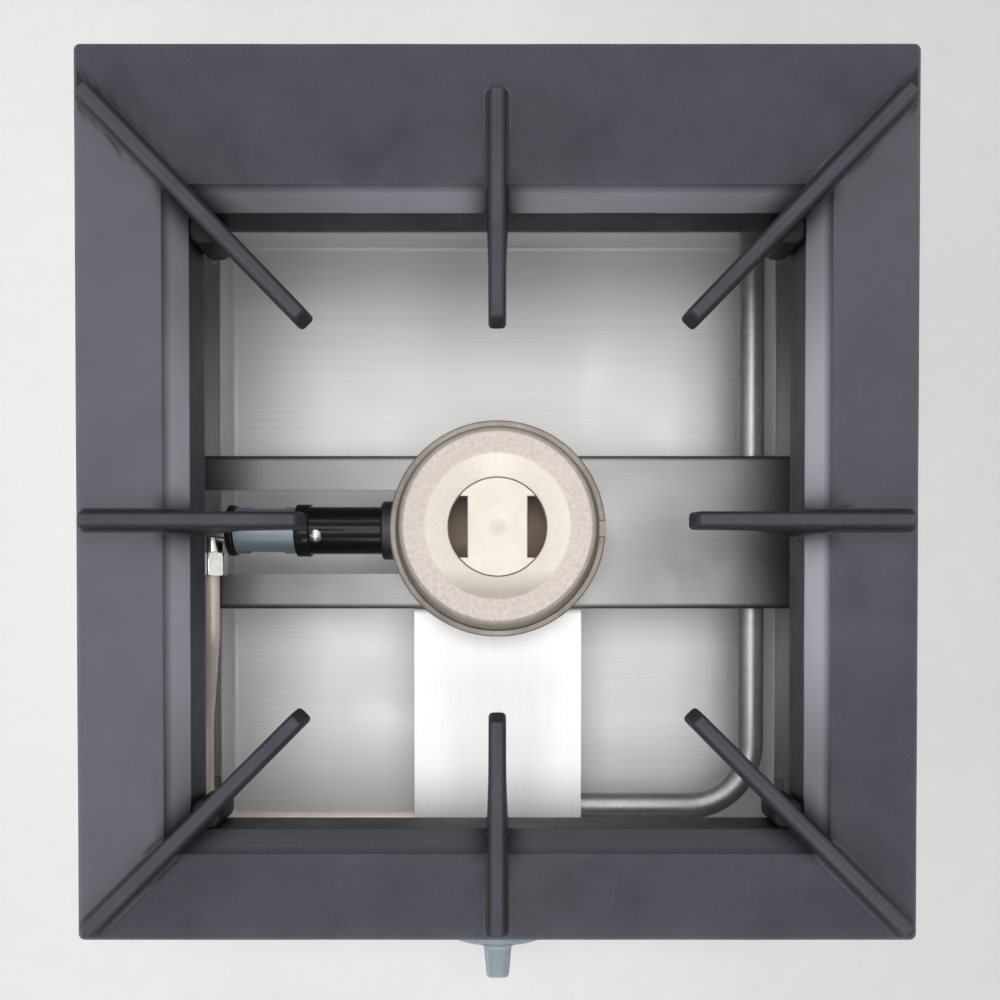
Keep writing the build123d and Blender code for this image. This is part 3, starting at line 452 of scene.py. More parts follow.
# The bar gets its painted reflection.
shaded_along_x(finishes["bar_steel"], bar_painted_reflection_stops)
for name, node in frame["nodes"].items():
    node.data.materials.clear()
    node.data.materials.append(finishes[node_slot[name]])
print(len(finishes), "finishes on", len(frame["nodes"]), "nodes")

# %% [markdown]
# ## Floor
# The hob stands on a pale table top. It is one large sheet, and it keeps the hob's soft shadow. Further off
# it fades into the white of the room.

# %% Pale floor
floor_half = 3000.0
# Painted shade on the floor: its colour is darker towards the right.
floor_painted_shade_stops = [(-280, 1.0), (0, 1.0), (280, 0.86)]
fade_from, fade_to = 700.0, 1500.0


def faded(material):
    """The same finish near the hob; rays that show a background see a white sweep further off."""
    tree = material.node_tree
    away = distance(tree, add_node(tree, "ShaderNodeTexCoord").outputs["Object"])
    far = share_between(tree, away, fade_from * mm, fade_to * mm)
    share = maths(tree, "MULTIPLY", far, background_rays(tree))
    near = tree.nodes["Principled BSDF"]
    sweep = add_node(tree, "ShaderNodeEmission", {"Color": white, "Strength": 1.0})
    both = add_node(tree, "ShaderNodeMixShader", {0: share, 1: near.outputs[0], 2: sweep.outputs[0]})
    tree.links.new(both.outputs[0], tree.nodes["Material Output"].inputs["Surface"])
    return material


table_top = coated("table_top", (0.50, 0.50, 0.498), (0.53, 0.53, 0.528), (0.55, 0.55, 0.55),
                   0.60, 60.0, 0.02)
floor_mesh = bpy.data.meshes.new("floor")
corners = floor_half * mm * np.array([(-1, -1, 0), (1, -1, 0), (1, 1, 0), (-1, 1, 0)])
floor_mesh.from_pydata(corners.tolist(), [], [(0, 1, 2, 3)])
floor = bpy.data.objects.new("floor", floor_mesh)
scene.collection.objects.link(floor)
floor_mesh.materials.append(faded(shaded_along_x(table_top, floor_painted_shade_stops)))
print("floor", 2 * floor_half, "mm wide")

# %% [markdown]
# ## Surfaces from numbers
# A cast or turned piece is a smooth function: a profile carried round an axis, along a path or round a
# frame. Polygon modelling by hand would lose its true roundings, so each shape is worked out as whole numpy
# arrays, rows by columns of points, in millimetres. One function then closes, smooths and hangs up every
# piece.

# %% Outlines with rounded corners


def unit(vectors):
    """Vectors scaled to length one."""
    return vectors / np.linalg.norm(vectors, axis=-1, keepdims=True)


def box_mm(node):
    """A node's lowest and highest corner, in millimetres."""
    return tuple(np.array(corner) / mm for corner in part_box(node))


def rounded(corners, radius, steps=6, closed=True):
    """Outline whose corners are tangent arcs.

    An arc starts radius / tan(half the corner's angle) before the corner, with its centre on the bisector.
    """
    corners = np.asarray(corners, float)
    radius = np.broadcast_to(np.asarray(radius, float), len(corners))[:, None]
    back = unit(np.roll(corners, 1, axis=0) - corners)
    ahead = unit(np.roll(corners, -1, axis=0) - corners)
    half = np.arccos(np.clip((back * ahead).sum(1), -1, 1))[:, None] / 2
    centre = corners + unit(back + ahead) * radius / np.sin(half)
    first = corners + back * radius / np.tan(half) - centre
    last = corners + ahead * radius / np.tan(half) - centre
    turn = (pi - 2 * half)[:, None]
    share = np.linspace(0, 1, steps)[None, :, None]
    arcs = np.sin((1 - share) * turn) * first[:, None] + np.sin(share * turn) * last[:, None]
    arcs = centre[:, None] + arcs / np.sin(turn)
    if closed:
        return arcs.reshape(-1, corners.shape[1])
    return np.concatenate([corners[:1], arcs[1:-1].reshape(-1, corners.shape[1]), corners[-1:]])


def dense(outline, spacing):
    """The same outline with points added on its long straight stretches."""
    stretch = np.linalg.norm(np.diff(outline, axis=0), axis=1)
    count = np.maximum(np.ceil(stretch / spacing), 1).astype(int)
    index = np.repeat(np.arange(len(stretch)), count)
    share = (np.arange(len(index)) - np.repeat(np.cumsum(count) - count, count)) / count[index]
    inner = outline[index] + share[:, None] * (outline[index + 1] - outline[index])
    return np.concatenate([inner, outline[-1:]])


def profile(rows, spacing=None, steps=6):
    """Outline from rows of (across, along, radius of the corner).

    With a spacing it ends where it starts, and its points lie no further apart than that.
    """
    rows = np.array(rows, float)
    outline = rounded(rows[:, :2], rows[:, 2], steps, closed=spacing is not None)
    return outline if spacing is None else dense(np.concatenate([outline, outline[:1]]), spacing)


print("outlines: rounded, dense, profile")

# %% Turned surfaces
up, front_ward, rear_ward = (0, 0, 1), (0, -1, 0), (0, 1, 0)
left_ward, right_ward = (-1, 0, 0), (1, 0, 0)


def full_turn(columns):
    """Angles of a full turn, in equal steps."""
    return np.arange(columns) * 2 * pi / columns


def turned(radius, height, origin, axis, angle):
    """Surface of revolution: origin + height * axis + radius * (cos(angle) * across + sin(angle) * beside).

    across and beside are square to the axis and to each other.
    """
    axis = np.asarray(axis, float)
    across = unit(np.cross(axis, np.roll(axis, 1)))
    spoke = np.cos(angle)[:, None] * across + np.sin(angle)[:, None] * np.cross(axis, across)
    radius = np.broadcast_to(radius, (len(radius), len(angle)))
    height = np.broadcast_to(height, (len(height), len(angle)))
    return np.asarray(origin, float) + height[..., None] * axis + radius[..., None] * spoke


def lathe(rows, origin, axis, spacing=None, columns=96):
    """Surface of revolution of a profile from rows of (radius, height, radius of the corner)."""
    points = profile(rows, spacing)
    return turned(points[:, :1], points[:, 1:], origin, axis, full_turn(columns))


print("surfaces: turned, lathe")

# %% Marks on a mesh


def read_vertices(mesh, field):
    """Places or normals of a mesh's vertices as rows of three."""
    values = np.empty(3 * len(mesh.vertices))
    mesh.vertices.foreach_get(field, values)
    return values.reshape(-1, 3)


def mark_vertices(mesh, name, values):
    """Stores one number between 0 and 1 at each vertex, for the materials to read."""
    mark = mesh.attributes.get(name) or mesh.attributes.new(name, "FLOAT", "POINT")
    mark.data.foreach_set("value", np.clip(values, 0, 1).astype(np.float32))


def standing_out(mesh):
    """How far vertices stand out from their neighbours: mean of normal . (vertex - neighbour) / distance."""
    count = len(mesh.vertices)
    ends = np.empty(2 * len(mesh.edges), np.int32)
    mesh.edges.foreach_get("vertices", ends)
    ends = ends.reshape(-1, 2)
    place, normal = read_vertices(mesh, "co"), read_vertices(mesh, "normal")
    step = unit(place[ends[:, 0]] - place[ends[:, 1]])
    rise = np.zeros(count)
    np.add.at(rise, ends[:, 0], (normal[ends[:, 0]] * step).sum(1))
    np.add.at(rise, ends[:, 1], -(normal[ends[:, 1]] * step).sum(1))
    return rise / np.maximum(np.bincount(ends.ravel(), minlength=count), 1)


# What lies back gets painted shade, stored with the soot mark.
print("marks: worn and soot, from what stands out and what lies back")

# %% From grids to a dressed piece
merge_distance = 0.5e-6             # metres
hollow_painted_shade = 2.0                   # painted shade in hollows, stored with the soot mark, against wear on edges


def add_piece(name, grids, node, sharp=40.0, wear=5.0):
    """One mesh of closed grids at the origin, which stands for a CAD node and rides on its body.

    A grid's columns close on themselves. Its first and last rows meet in a pole or a line, or lie on each
    other.
    """
    corners, start = [], 0
    for grid in grids:
        rows, columns = grid.shape[:2]
        row = start + columns * np.arange(rows - 1)[:, None]
        here = np.arange(columns)[None]
        beside = (here + 1) % columns
        quads = np.stack([row + here, row + beside, row + columns + beside, row + columns + here], -1)
        corners.append(quads.reshape(-1, 4))
        start += rows * columns
    corners = np.concatenate(corners)
    mesh = bpy.data.meshes.new(name)
    mesh.vertices.add(start)
    mesh.vertices.foreach_set("co", mm * np.concatenate([grid.reshape(-1) for grid in grids]))
    mesh.loops.add(corners.size)
    mesh.loops.foreach_set("vertex_index", corners.reshape(-1))
    mesh.polygons.add(len(corners))
    mesh.polygons.foreach_set("loop_start", 4 * np.arange(len(corners)))
    mesh.update(calc_edges=True)
    shell = bmesh.new()
    shell.from_mesh(mesh)
    bmesh.ops.remove_doubles(shell, verts=shell.verts, dist=merge_distance)
    bmesh.ops.dissolve_degenerate(shell, edges=shell.edges, dist=merge_distance)
    bmesh.ops.recalc_face_normals(shell, faces=shell.faces)
    open_edges = sum(not edge.is_manifold for edge in shell.edges)
    shell.to_mesh(mesh)
    shell.free()
    mesh.polygons.foreach_set("use_smooth", np.ones(len(mesh.polygons), bool))
    mesh.set_sharp_from_angle(angle=radians(sharp))
    rise = standing_out(mesh)
    mark_vertices(mesh, "worn", wear * rise)
    # Painted shade in hollows.
    mark_vertices(mesh, "soot_and_painted_shade", -hollow_painted_shade * wear * rise)
    mesh.materials.append(finishes[node_slot[node]])
    piece = bpy.data.objects.new(name, mesh)
    scene.collection.objects.link(piece)
    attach(piece, node_body[node])
    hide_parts(node)
    print(name, len(mesh.polygons), "faces,", open_edges, "open edges")
    return piece


print("pieces stand for", len(node_body), "nodes")

# %% [markdown]
# ## Pan support
# The pan support is one sand casting: a broad flat frame, a band that slopes into the opening, an inner wall
# and eight fingers that carry the pan. A boolean of boxes would give knife edges. On a casting every edge is
# rounded and every rib grows out of its plate in a fillet, so the frame is one rounded section carried round
# a rectangle, and each finger is a rib whose flanks widen in a circular fillet close to the frame.

# %% Frame of the pan support
face_width = 41.5
band_run = 9.5
band_drop = 12.0
plate_thickness = 10.0
frame_depth = 39.0
wall_thickness = 7.0
finger_rise = 9.0
frame_corner = 3.0
pad_size = 14.0
pad_edge = 1.5
pad_corner = 5.0
arc_steps = 5

support_high = box_mm("pan_support")[1]
half_width = support_high[0]
rear_strip = support_high[1] - half_width
face_z = support_high[2] - finger_rise
plate_foot = face_z - plate_thickness
opening = half_width - face_width
inside = opening - band_run
wall_back = inside + wall_thickness
band_foot = face_z - band_drop
wall_foot = face_z - frame_depth


def rectangle_rings(half, rear, height, corner, side_steps=112, corner_steps=6):
    """Rounded rectangles, one for each row: (half - corner) * place + corner * normal.

    place walks along the sides of a unit square, and normal turns a quarter circle at each of its corners.
    The rear side lies further out by its own distance.
    """
    along = np.linspace(-1, 1, side_steps)
    turn = np.linspace(0, pi / 2, corner_steps)[1:-1]
    place = np.concatenate([np.stack([np.ones(side_steps), along], -1), np.ones((len(turn), 2))])
    normal = np.concatenate([np.tile((1.0, 0.0), (side_steps, 1)),
                             np.stack([np.cos(turn), np.sin(turn)], -1)])
    quarter = np.array([(0.0, 1.0), (-1.0, 0.0)])
    spins = [np.linalg.matrix_power(quarter, count) for count in range(4)]
    place = np.concatenate([place @ spin for spin in spins])
    normal = np.concatenate([normal @ spin for spin in spins])
    half, rear, height, corner = (np.reshape(value, (-1, 1)) for value in (half, rear, height, corner))
    x = (half - corner) * place[:, 0] + corner * normal[:, 0]
    y = rear / 2 + (half + rear / 2 - corner) * place[:, 1] + corner * normal[:, 1]
    return np.stack([x, y, np.broadcast_to(height, x.shape)], -1)


def rounded_block(centre, width, height, edge, corner):
    """Closed square block: rings shrink to a point below and above, and quarter arcs round its edges."""
    arc = np.linspace(0, pi / 2, arc_steps)
    near, far = edge * (1 - np.sin(arc)), edge * (1 - np.cos(arc))
    inset = np.concatenate([[width / 2], near, far, [width / 2]])
    lift = np.concatenate([[0], far, height - near, [height]])
    half = width / 2 - inset
    rings = rectangle_rings(half, 0.0, lift, np.minimum(corner, half), side_steps=6, corner_steps=7)
    return rings + np.asarray(centre, float)


section = profile(
    [(half_width, plate_foot, 1.2), (half_width, face_z, 2.5), (opening, face_z, 1.2),
     (inside, band_foot, 2.0), (inside, wall_foot, 2.2), (wall_back, wall_foot, 2.2),
     (wall_back, plate_foot, 3.0)], spacing=6.0)
share_out = np.clip((section[:, 0] - opening) / face_width, 0, 1)
frame_grid = rectangle_rings(section[:, 0], rear_strip * share_out, section[:, 1], frame_corner)
pad_centre = inside - pad_size / 2
pads = [rounded_block((x, y, wall_foot), pad_size, frame_depth - band_drop, pad_edge, pad_corner)
        for x in (-pad_centre, pad_centre) for y in (-pad_centre, pad_centre)]
print("frame", frame_grid.shape[:2], "opening", round(2 * opening, 1), "mm")

# %% Rib whose root flares into a fillet
end_steps, edge_steps = 15, 9


def rib(spine, top, half, edge, draft, foot_edge, depth_at, clearance, flare, square=4.5, flank_steps=26):
    """Rib along its own axis as (along, across, up), levels by outline.

    outline: spine point + width * normal; the normal turns half a circle at each end, squared off a little
    by a superellipse. level: ridge, flat top, quarter-round edge, flank, rounded underside. On the flank,
    width = half + depth * tan(draft) + flare - sqrt(flare^2 - (flare - clearance)^2), a fillet of radius
    flare where the clearance to what carries the rib runs out.
    """
    turn = np.linspace(-pi / 2, pi / 2, end_steps)[1:-1]
    angle = np.concatenate([np.full(len(spine), -pi / 2), turn, np.full(len(spine), pi / 2), turn + pi])
    along = np.concatenate([spine, np.full(len(turn), spine[-1]), spine[::-1], np.full(len(turn), spine[0])])
    reach = (np.abs(np.cos(angle)) ** square + np.abs(np.sin(angle)) ** square) ** (-1 / square)
    normal = np.stack([np.cos(angle), np.sin(angle)], -1) * reach[:, None]
    depth = depth_at(along + half * normal[:, 0])[None]
    arc = np.linspace(0, pi / 2, edge_steps)[:, None]
    flank = np.linspace(0, 1, flank_steps)[1:-1, None]
    slope = tan(radians(draft))
    straight = depth - edge - foot_edge
    level = np.concatenate([0 * depth, 0 * depth + edge * (1 - np.cos(arc)), edge + flank * straight,
                            depth - foot_edge * (1 - np.sin(arc)), depth])
    width = np.concatenate([0 * depth, 0 * depth + half - edge * (1 - np.sin(arc)),
                            half + slope * (edge + flank * straight),
                            half + slope * (depth - foot_edge) - foot_edge * (1 - np.cos(arc)), 0 * depth])
    room = clearance(along + width * normal[:, 0], width * normal[:, 1], top - level)
    room = np.clip(room, 0, flare)
    width = width + (width > 0) * (flare - np.sqrt(flare ** 2 - (flare - room) ** 2))
    return np.stack([along + width * normal[:, 0], width * normal[:, 1], top - level], -1)


print("rib of", end_steps, "steps round an end and", edge_steps, "round an edge")

# %% Distance from the frame
far_below = -1e3


def distance_to_segment(u, z, start, end):
    """Distance of points (u, z) from the straight stretch between two points."""
    run, rise = end[0] - start[0], end[1] - start[1]
    share = np.clip(((u - start[0]) * run + (z - start[1]) * rise) / (run ** 2 + rise ** 2), 0, 1)
    return np.hypot(u - start[0] - share * run, z - start[1] - share * rise)


def frame_surface(u):
    """Height of the frame's upper surface at a distance u from the middle; far below inside the opening."""
    return np.where(u < inside, far_below, np.interp(u, (inside, opening), (band_foot, face_z)))


def frame_clearance(x, y, z):
    """Distance of points from the frame's inner wall, band and flat face; none below its surface."""
    u = np.maximum(np.abs(x), np.abs(y))
    stretches = [((inside, 0.0), (inside, band_foot)), ((inside, band_foot), (opening, face_z)),
                 ((opening, face_z), (2 * half_width, face_z))]
    room = np.min([distance_to_segment(u, z, *ends) for ends in stretches], axis=0)
    return np.where(z < frame_surface(u), 0.0, room)


print("band from", round(band_foot, 1), "to", round(face_z, 1), "mm")

# %% Fingers of the pan support
finger_half = 3.8
finger_edge = 2.8
finger_foot = 1.2
finger_draft = 2.0                  # degrees
finger_flare = 2.2
finger_tip = 91.5
finger_inset = 4.0
corner_inset = 6.0
rear_reach = 5.0
rear_turn = 1.0                     # degrees
nose_depth = 13.0
nose_lean = 2.0
nose_length = 12.0
knee_depth = 17.0
gusset_depth = 44.0
gusset_reach = 26.0
root_margin = 4.0
finger_sink = 1.5
wall_overlap = 1.0
spine_steps = (14, 16, 40, 12)
side_angles = (0, 90, 180, 270)
corner_angles = (45 + rear_turn, 135 - rear_turn, 225, 315)


def swung(along, across, angle):
    """x and y of points along and across a direction at an angle round the Z axis."""
    return along * np.cos(angle) - across * np.sin(angle), along * np.sin(angle) + across * np.cos(angle)


def finger(angle, stretch, end):
    """Finger at an angle round the burner; stretch is 1 across the sides and sqrt(2) along the diagonals.

    Near the tip it leans back: along + lean * (1 - depth / nose depth), fading out over the nose's length.
    """
    top = support_high[2]
    tip, wall = finger_tip * stretch, inside * stretch
    knee, root, shoulder = wall - gusset_reach, wall - root_margin, opening * stretch + root_margin
    stations = (tip + finger_half, knee, root, shoulder, end - finger_half)
    spine = [np.linspace(*ends)[:-1] for ends in zip(stations, stations[1:], spine_steps)]
    spine = np.concatenate([*spine, stations[-1:]])

    def depth_at(along):
        free = np.interp(along, (tip, knee, wall), (nose_depth, knee_depth, gusset_depth))
        carried = top - frame_surface(along / stretch) + finger_sink
        return np.where(along < wall + wall_overlap, free, carried)

    def clearance(along, across, z):
        return frame_clearance(*swung(along, across, angle), z)

    grid = rib(spine, top, finger_half, finger_edge, finger_draft, finger_foot, depth_at, clearance,
               finger_flare)
    along, across, z = grid[..., 0], grid[..., 1], grid[..., 2]
    along = along + nose_lean * (1 - (top - z) / nose_depth) * np.clip(1 - (along - tip) / nose_length, 0, 1)
    return np.stack([*swung(along, across, angle), z], -1)


side_end = half_width - finger_inset
fingers = [finger(radians(angle), 1.0, side_end + rear_reach * (angle == 90)) for angle in side_angles]
fingers += [finger(radians(angle), sqrt(2), (half_width - corner_inset) / abs(np.cos(radians(angle))))
            for angle in corner_angles]
print(len(fingers), "fingers of", fingers[0].shape[:2], "points")

# %% The casting in one piece
wave_height = 0.14
casting_waves = ((19, 47, 0.0), (-61, 23, 1.3), (13, 13, 0.7))    # mm per radian in x and in y, phase


def uneven(grid):
    """Slow waves of a casting that shrank as it cooled: three crossing sine waves added to the height."""
    x, y, z = grid[..., 0], grid[..., 1], grid[..., 2]
    wave = sum(np.sin(x / by_x + y / by_y + phase) for by_x, by_y, phase in casting_waves)
    return np.stack([x, y, z + wave_height * wave / len(casting_waves)], -1)


support = add_piece("cast_pan_support", [uneven(frame_grid), *pads, *fingers], "pan_support",
                    sharp=60, wear=1.5)

# %% [markdown]
# Pans rub the fingers' ridges and the band bare. Painted light lifts the band further, most on the right
# side, then the left, rear and front, and it lifts the left face and the right face towards the rear. Flames
# leave soot on the wall, darkened further by painted shade, most at the rear; painted shade also darkens the
# corner pads, the fingers' flanks and the face round their roots. Painting that by hand would not follow a
# change of size, so it is worked out from each vertex's place and stored with the mesh, where the iron's
# material reads it.

# %% Ground band, painted light, soot and painted shade
ridge_drop = 0.06
flank_drop = 0.60
flank_foot = 0.02
# Painted shade on the fingers' flanks and on the face round their roots.
flank_painted_shade = 0.85
root_painted_shade = (0.9, 0.8, 0.0)
root_fade = 4.0
root_spread = 8.0
band_clear = 0.4
wall_clear = 0.1
front, right, rear, left = 0, 1, 2, 3
# Ground band with painted light, one share for each side; painted light on the left face, and on the right
# face towards the rear.
band_ground_and_painted_light = (0.17, 1.0, 0.62, 0.72)
# Soot and painted shade on the wall, one share for each side, most at the rear.
wall_soot_and_painted_shade = (0.25, 0.28, 0.86, 0.34)
left_painted_light = 0.24
right_painted_light = 0.15
painted_light_half = 140.0


def from_fingers(x, y):
    """Distance of points, seen from above, from the flank of the nearest finger."""
    angle = np.radians([*side_angles, *corner_angles])[:, None]
    across = np.abs(y * np.cos(angle) - x * np.sin(angle))
    behind = x * np.cos(angle) + y * np.sin(angle) < 0
    return np.maximum(across + 2 * half_width * behind - finger_half, 0).min(axis=0)


x, y, z = (read_vertices(support.data, "co") / mm).T
outward = np.maximum(np.abs(x), np.abs(y))
above = z - frame_surface(outward)
aside = from_fingers(x, y)
on_wall = (outward < inside + band_clear) & (z < band_foot + wall_clear)
on_band = (outward < opening - band_clear) & (np.abs(above) < band_clear)
on_face = (outward > opening) & (np.abs(above) < band_clear)
on_pad = (np.minimum(np.abs(x), np.abs(y)) > inside - pad_size - band_clear) & on_wall
on_finger = (above > band_clear) | ((above > flank_foot) & (aside < finger_flare + band_clear))
flank = flank_painted_shade * np.interp(support_high[2] - z, (ridge_drop, flank_drop), (0, 1)) * on_finger
root = np.interp(outward, (inside, opening, opening + root_fade), root_painted_shade)
root = np.exp(-(aside / root_spread) ** 2) * root * (np.abs(above) < band_clear)
side = np.select([y < -np.abs(x), x > np.abs(y), y > np.abs(x)], [front, right, rear], left)
face_painted_light = left_painted_light * (side == left) + (side == right) * np.interp(y, (-painted_light_half, painted_light_half), (0, right_painted_light))
# Soot and painted shade on the wall, and painted shade on the corner pads.
wall = np.maximum(np.take(wall_soot_and_painted_shade, side), on_pad) * on_wall
mark_vertices(support.data, "ground_and_painted_light", np.take(band_ground_and_painted_light, side) * on_band + face_painted_light * on_face)
mark_vertices(support.data, "soot_and_painted_shade", np.max([wall, flank, root], axis=0))
print(int(on_band.sum()), "vertices on the band,", int(on_wall.sum()), "on the wall")

# %% [markdown]
# ## Burner
# The burner is a cast bowl with a loose cap: gas comes up round the centre post, fills the cap and burns at
# the ports round its foot. All three pieces were turned on a lathe after casting, so each is a profile
# carried round the axis. The ports are cut into the cap's columns, and the bowl's rim has a notch for the
# cap's key.

# %% Burner cap
cap_low, cap_high = box_mm("burner_cap")
cap_seat, cap_top = cap_low[2], cap_high[2]
cap_foot, cap_inner, cap_bore = 53.5, 48.9, 25.7
shoulder_radius, ring_radius, roof_radius, lip_radius = 50.5, 48.5, 43.5, 30.7
foot_top, shoulder_top = cap_seat + 8.0, cap_top - 2.0
dish_low, roof_low, lip_low = cap_top - 6.0, cap_top - 7.0, cap_top - 14.0
port_count = 40
port_half = 1.0
port_low = cap_seat + 2.0
port_high = port_low + 6.0
port_depth = 3.2
port_inner = 50.0
key_half = 4.1
key_rise = 1.0
key_root = 2.0
key_edge = 0.5

cap_profile = profile(
    [(cap_foot, cap_seat, 0.4), (cap_foot, foot_top, 1.5), (shoulder_radius, shoulder_top, 1.4),
     (ring_radius, cap_top, 1.4), (dish_edge, cap_top, 1.2), (cap_bore, dish_low, 1.0),
     (cap_bore, lip_low, 0.5), (lip_radius, lip_low, 0.5), (dish_edge, roof_low, 1.0),
     (roof_radius, roof_low, 1.0), (cap_inner, foot_top, 0.5), (cap_inner, cap_seat, 0.4)],
    spacing=0.6, steps=arc_steps)
half_widths = np.array([-1.12, -1.0, -0.5, 0.0, 0.5, 1.0, 1.12, 2.0, 3.1, 4.2])    # columns over one port
port_columns = half_widths * port_half / cap_foot
cap_angles = (full_turn(port_count)[:, None] + port_columns).ravel()
in_port = np.tile(np.abs(half_widths) <= 1, port_count)
on_foot = (cap_profile[:, 0] > port_inner) & (cap_profile[:, 1] > port_low) & (cap_profile[:, 1] < port_high)
cap_radius = cap_profile[:, :1] - port_depth * (on_foot[:, None] & in_port)
cap_grid = turned(cap_radius, cap_profile[:, 1:], (0, 0, 0), up, cap_angles)
block = rounded_block((0, 0, 0), 2 * key_half, cap_high[0] - cap_foot + key_root, key_edge, key_edge)
key_grid = np.stack([block[..., 2] + cap_foot - key_root, block[..., 0],
                     cap_seat + key_rise + key_rise * block[..., 1] / key_half], -1)
add_piece("cast_burner_cap", [cap_grid, key_grid], "burner_cap")

# %% Burner bowl
bar_top = box_mm("cross_bar")[1][2]
disc_low, disc_high = box_mm("burner_centre_disc")
rim_top = bar_top + 31.0
rim_foot = rim_top - 6.0
bowl_floor = bar_top + 9.0
foot_rise = bar_top + 4.0
bowl_foot, bowl_belly, bowl_inner, bowl_hollow = 38.0, 45.0, 48.5, 40.0
rim_outer, rim_inner = 57.5, 53.9
post_radius = 10.0
rim_margin = 1.0
bowl_columns = 144
clean_radius, clean_from = bowl_inner + 0.5, bar_top + 5.0
socket_beyond = rim_outer + 0.1
notch = 4.5 / 55.5                  # half its angle: half its width over the rim's middle radius
notch_step = 0.002
key_angle = 1.5 * pi
collar_radius = 14.4
socket_bore, socket_radius = 13.3, 16.0
socket_start, socket_end = 36.0, 63.0

bowl_profile = dense(profile(
    [(0, bar_top, 0), (bowl_foot, bar_top, 1), (bowl_foot, foot_rise, 1), (bowl_belly, bowl_floor, 4),
     (rim_outer, rim_foot, 3), (rim_outer, rim_top, 1), (rim_inner, rim_top, 0.6),
     (rim_inner, cap_seat, 0.3), (bowl_inner, cap_seat, 0.5), (bowl_inner, rim_foot, 2),
     (bowl_hollow, bowl_floor, 3), (post_radius, bowl_floor, 3), (post_radius, disc_low[2], 1),
     (0, disc_low[2], 0)]), spacing=3.0)
notch_ends = key_angle + np.array([notch, notch + notch_step, -notch, -notch - notch_step])
bowl_angles = np.sort(np.concatenate([full_turn(bowl_columns), notch_ends]))
in_notch = np.abs(bowl_angles - key_angle) <= notch + notch_step / 4
on_rim = (bowl_profile[:, 0] > rim_inner - rim_margin) & (bowl_profile[:, 1] > cap_seat)
bowl_height = np.where(on_rim[:, None] & in_notch, cap_seat, bowl_profile[:, 1:])
bowl_grid = turned(bowl_profile[:, :1], bowl_height, (0, 0, 0), up, bowl_angles)
tube_z = box_mm("mixing_tube")[0][2] + collar_radius
tube_axis = (0, 0, tube_z)
socket = lathe([(socket_bore, socket_start, 0.3), (socket_radius, socket_start, 0.3),
                (socket_radius, socket_end, 1.5), (socket_bore, socket_end, 0.6)],
               tube_axis, left_ward, spacing=4.0, columns=72)
bowl = add_piece("cast_burner_bowl", [bowl_grid, socket], "burner_bowl")
x, y, z = (read_vertices(bowl.data, "co") / mm).T
mark_vertices(bowl.data, "ground_and_painted_light", (np.hypot(x, y) < clean_radius) & (z > clean_from))
mark_vertices(bowl.data, "soot_and_painted_shade", x < -socket_beyond)

# %% Centre disc of the burner
disc_radius = disc_high[1]
disc_flat = 15.5
notch_half = 16.0
disc_edge = 0.6
dimple_radius = 5.0
dimple_depth = 0.8
bow_steps, flat_steps, across_steps = 24, 33, 41


def centre_disc():
    """Loft of flat sections along Y: half width = sqrt(R^2 - y^2), or the flat's distance in the notches."""
    bow = disc_radius * np.sin(np.linspace(np.arcsin(notch_half / disc_radius), pi / 2, bow_steps))
    y = np.concatenate([-bow[::-1], np.linspace(-notch_half, notch_half, flat_steps), bow])[:, None]
    half = np.sqrt(np.maximum(disc_radius ** 2 - y ** 2, 0))
    half[bow_steps:-bow_steps] = disc_flat
    arc = np.linspace(0, pi / 2, arc_steps)
    across = np.linspace(1, -1, across_steps)[1:-1]
    edge = np.minimum(disc_edge, half)
    right = half - edge * (1 - np.cos(arc))
    rise = disc_high[2] - edge * (1 - np.sin(arc))
    flat = (half - edge) * across
    low = np.full_like(half, disc_low[2])
    x = np.concatenate([half, right, flat, -right[:, ::-1], -half], 1)
    z = np.concatenate([low, rise, np.full_like(flat, disc_high[2]), rise[:, ::-1], low], 1)
    hollow = np.clip(1 - np.hypot(x, y) / dimple_radius, 0, 1) * (z > disc_high[2] - disc_edge)
    return np.stack([x, np.broadcast_to(y, x.shape), z - dimple_depth * hollow], -1)


add_piece("burner_centre_disc_turned", [centre_disc()], "burner_centre_disc")

# %% [markdown]
# ## Mixing tube, elbow and nuts
# Gas leaves a jet at the end of the mixing tube and drags air in through the shutter. The tube is a black
# enamelled casting, the elbow and the union nuts are nickel plated. Nuts are turned from hexagon bar, which
# leaves curved chamfers: the smaller of the hexagon's and a cone's radius gives exactly those arcs.

# %% Mixing tube and its end flange
tube_radius, tube_bore, throat_radius = 13.0, 10.0, 8.0
spigot_radius, spigot_bore = 10.6, 8.6
flange_radius, plug_radius, jet_bore = 14.0, 8.3, 4.3
tube_start, throat, collar_start, collar_end = 47.0, 88.0, 102.0, 109.6
plug_start, spigot_end, flange_end = 138.0, 143.0, 147.0

mixing_tube = lathe(
    [(tube_bore, tube_start, 0.3), (tube_radius, tube_start, 0.3), (tube_radius, collar_start, 0.6),
     (collar_radius, collar_start, 0.5), (collar_radius, collar_end, 0.5), (spigot_radius, collar_end, 0.5),
     (spigot_radius, spigot_end, 0.4), (spigot_bore, spigot_end, 0.3), (spigot_bore, collar_start, 1),
     (throat_radius, throat, 1)], tube_axis, left_ward, spacing=4.0)
end_flange = lathe(
    [(jet_bore, plug_start, 0.3), (plug_radius, plug_start, 0.4), (plug_radius, spigot_end, 0.3),
     (flange_radius, spigot_end, 0.8), (flange_radius, flange_end, 0.8), (jet_bore, flange_end, 0.4)],
    tube_axis, left_ward, spacing=3.0)
add_piece("enamelled_mixing_tube", [mixing_tube], "mixing_tube")
add_piece("enamelled_end_flange", [end_flange], "injector_flange")

# %% Elbow
elbow_x = -157.0
elbow_end = 164.0
elbow_head, elbow_neck, elbow_arm = 7.0, 6.0, 12.0

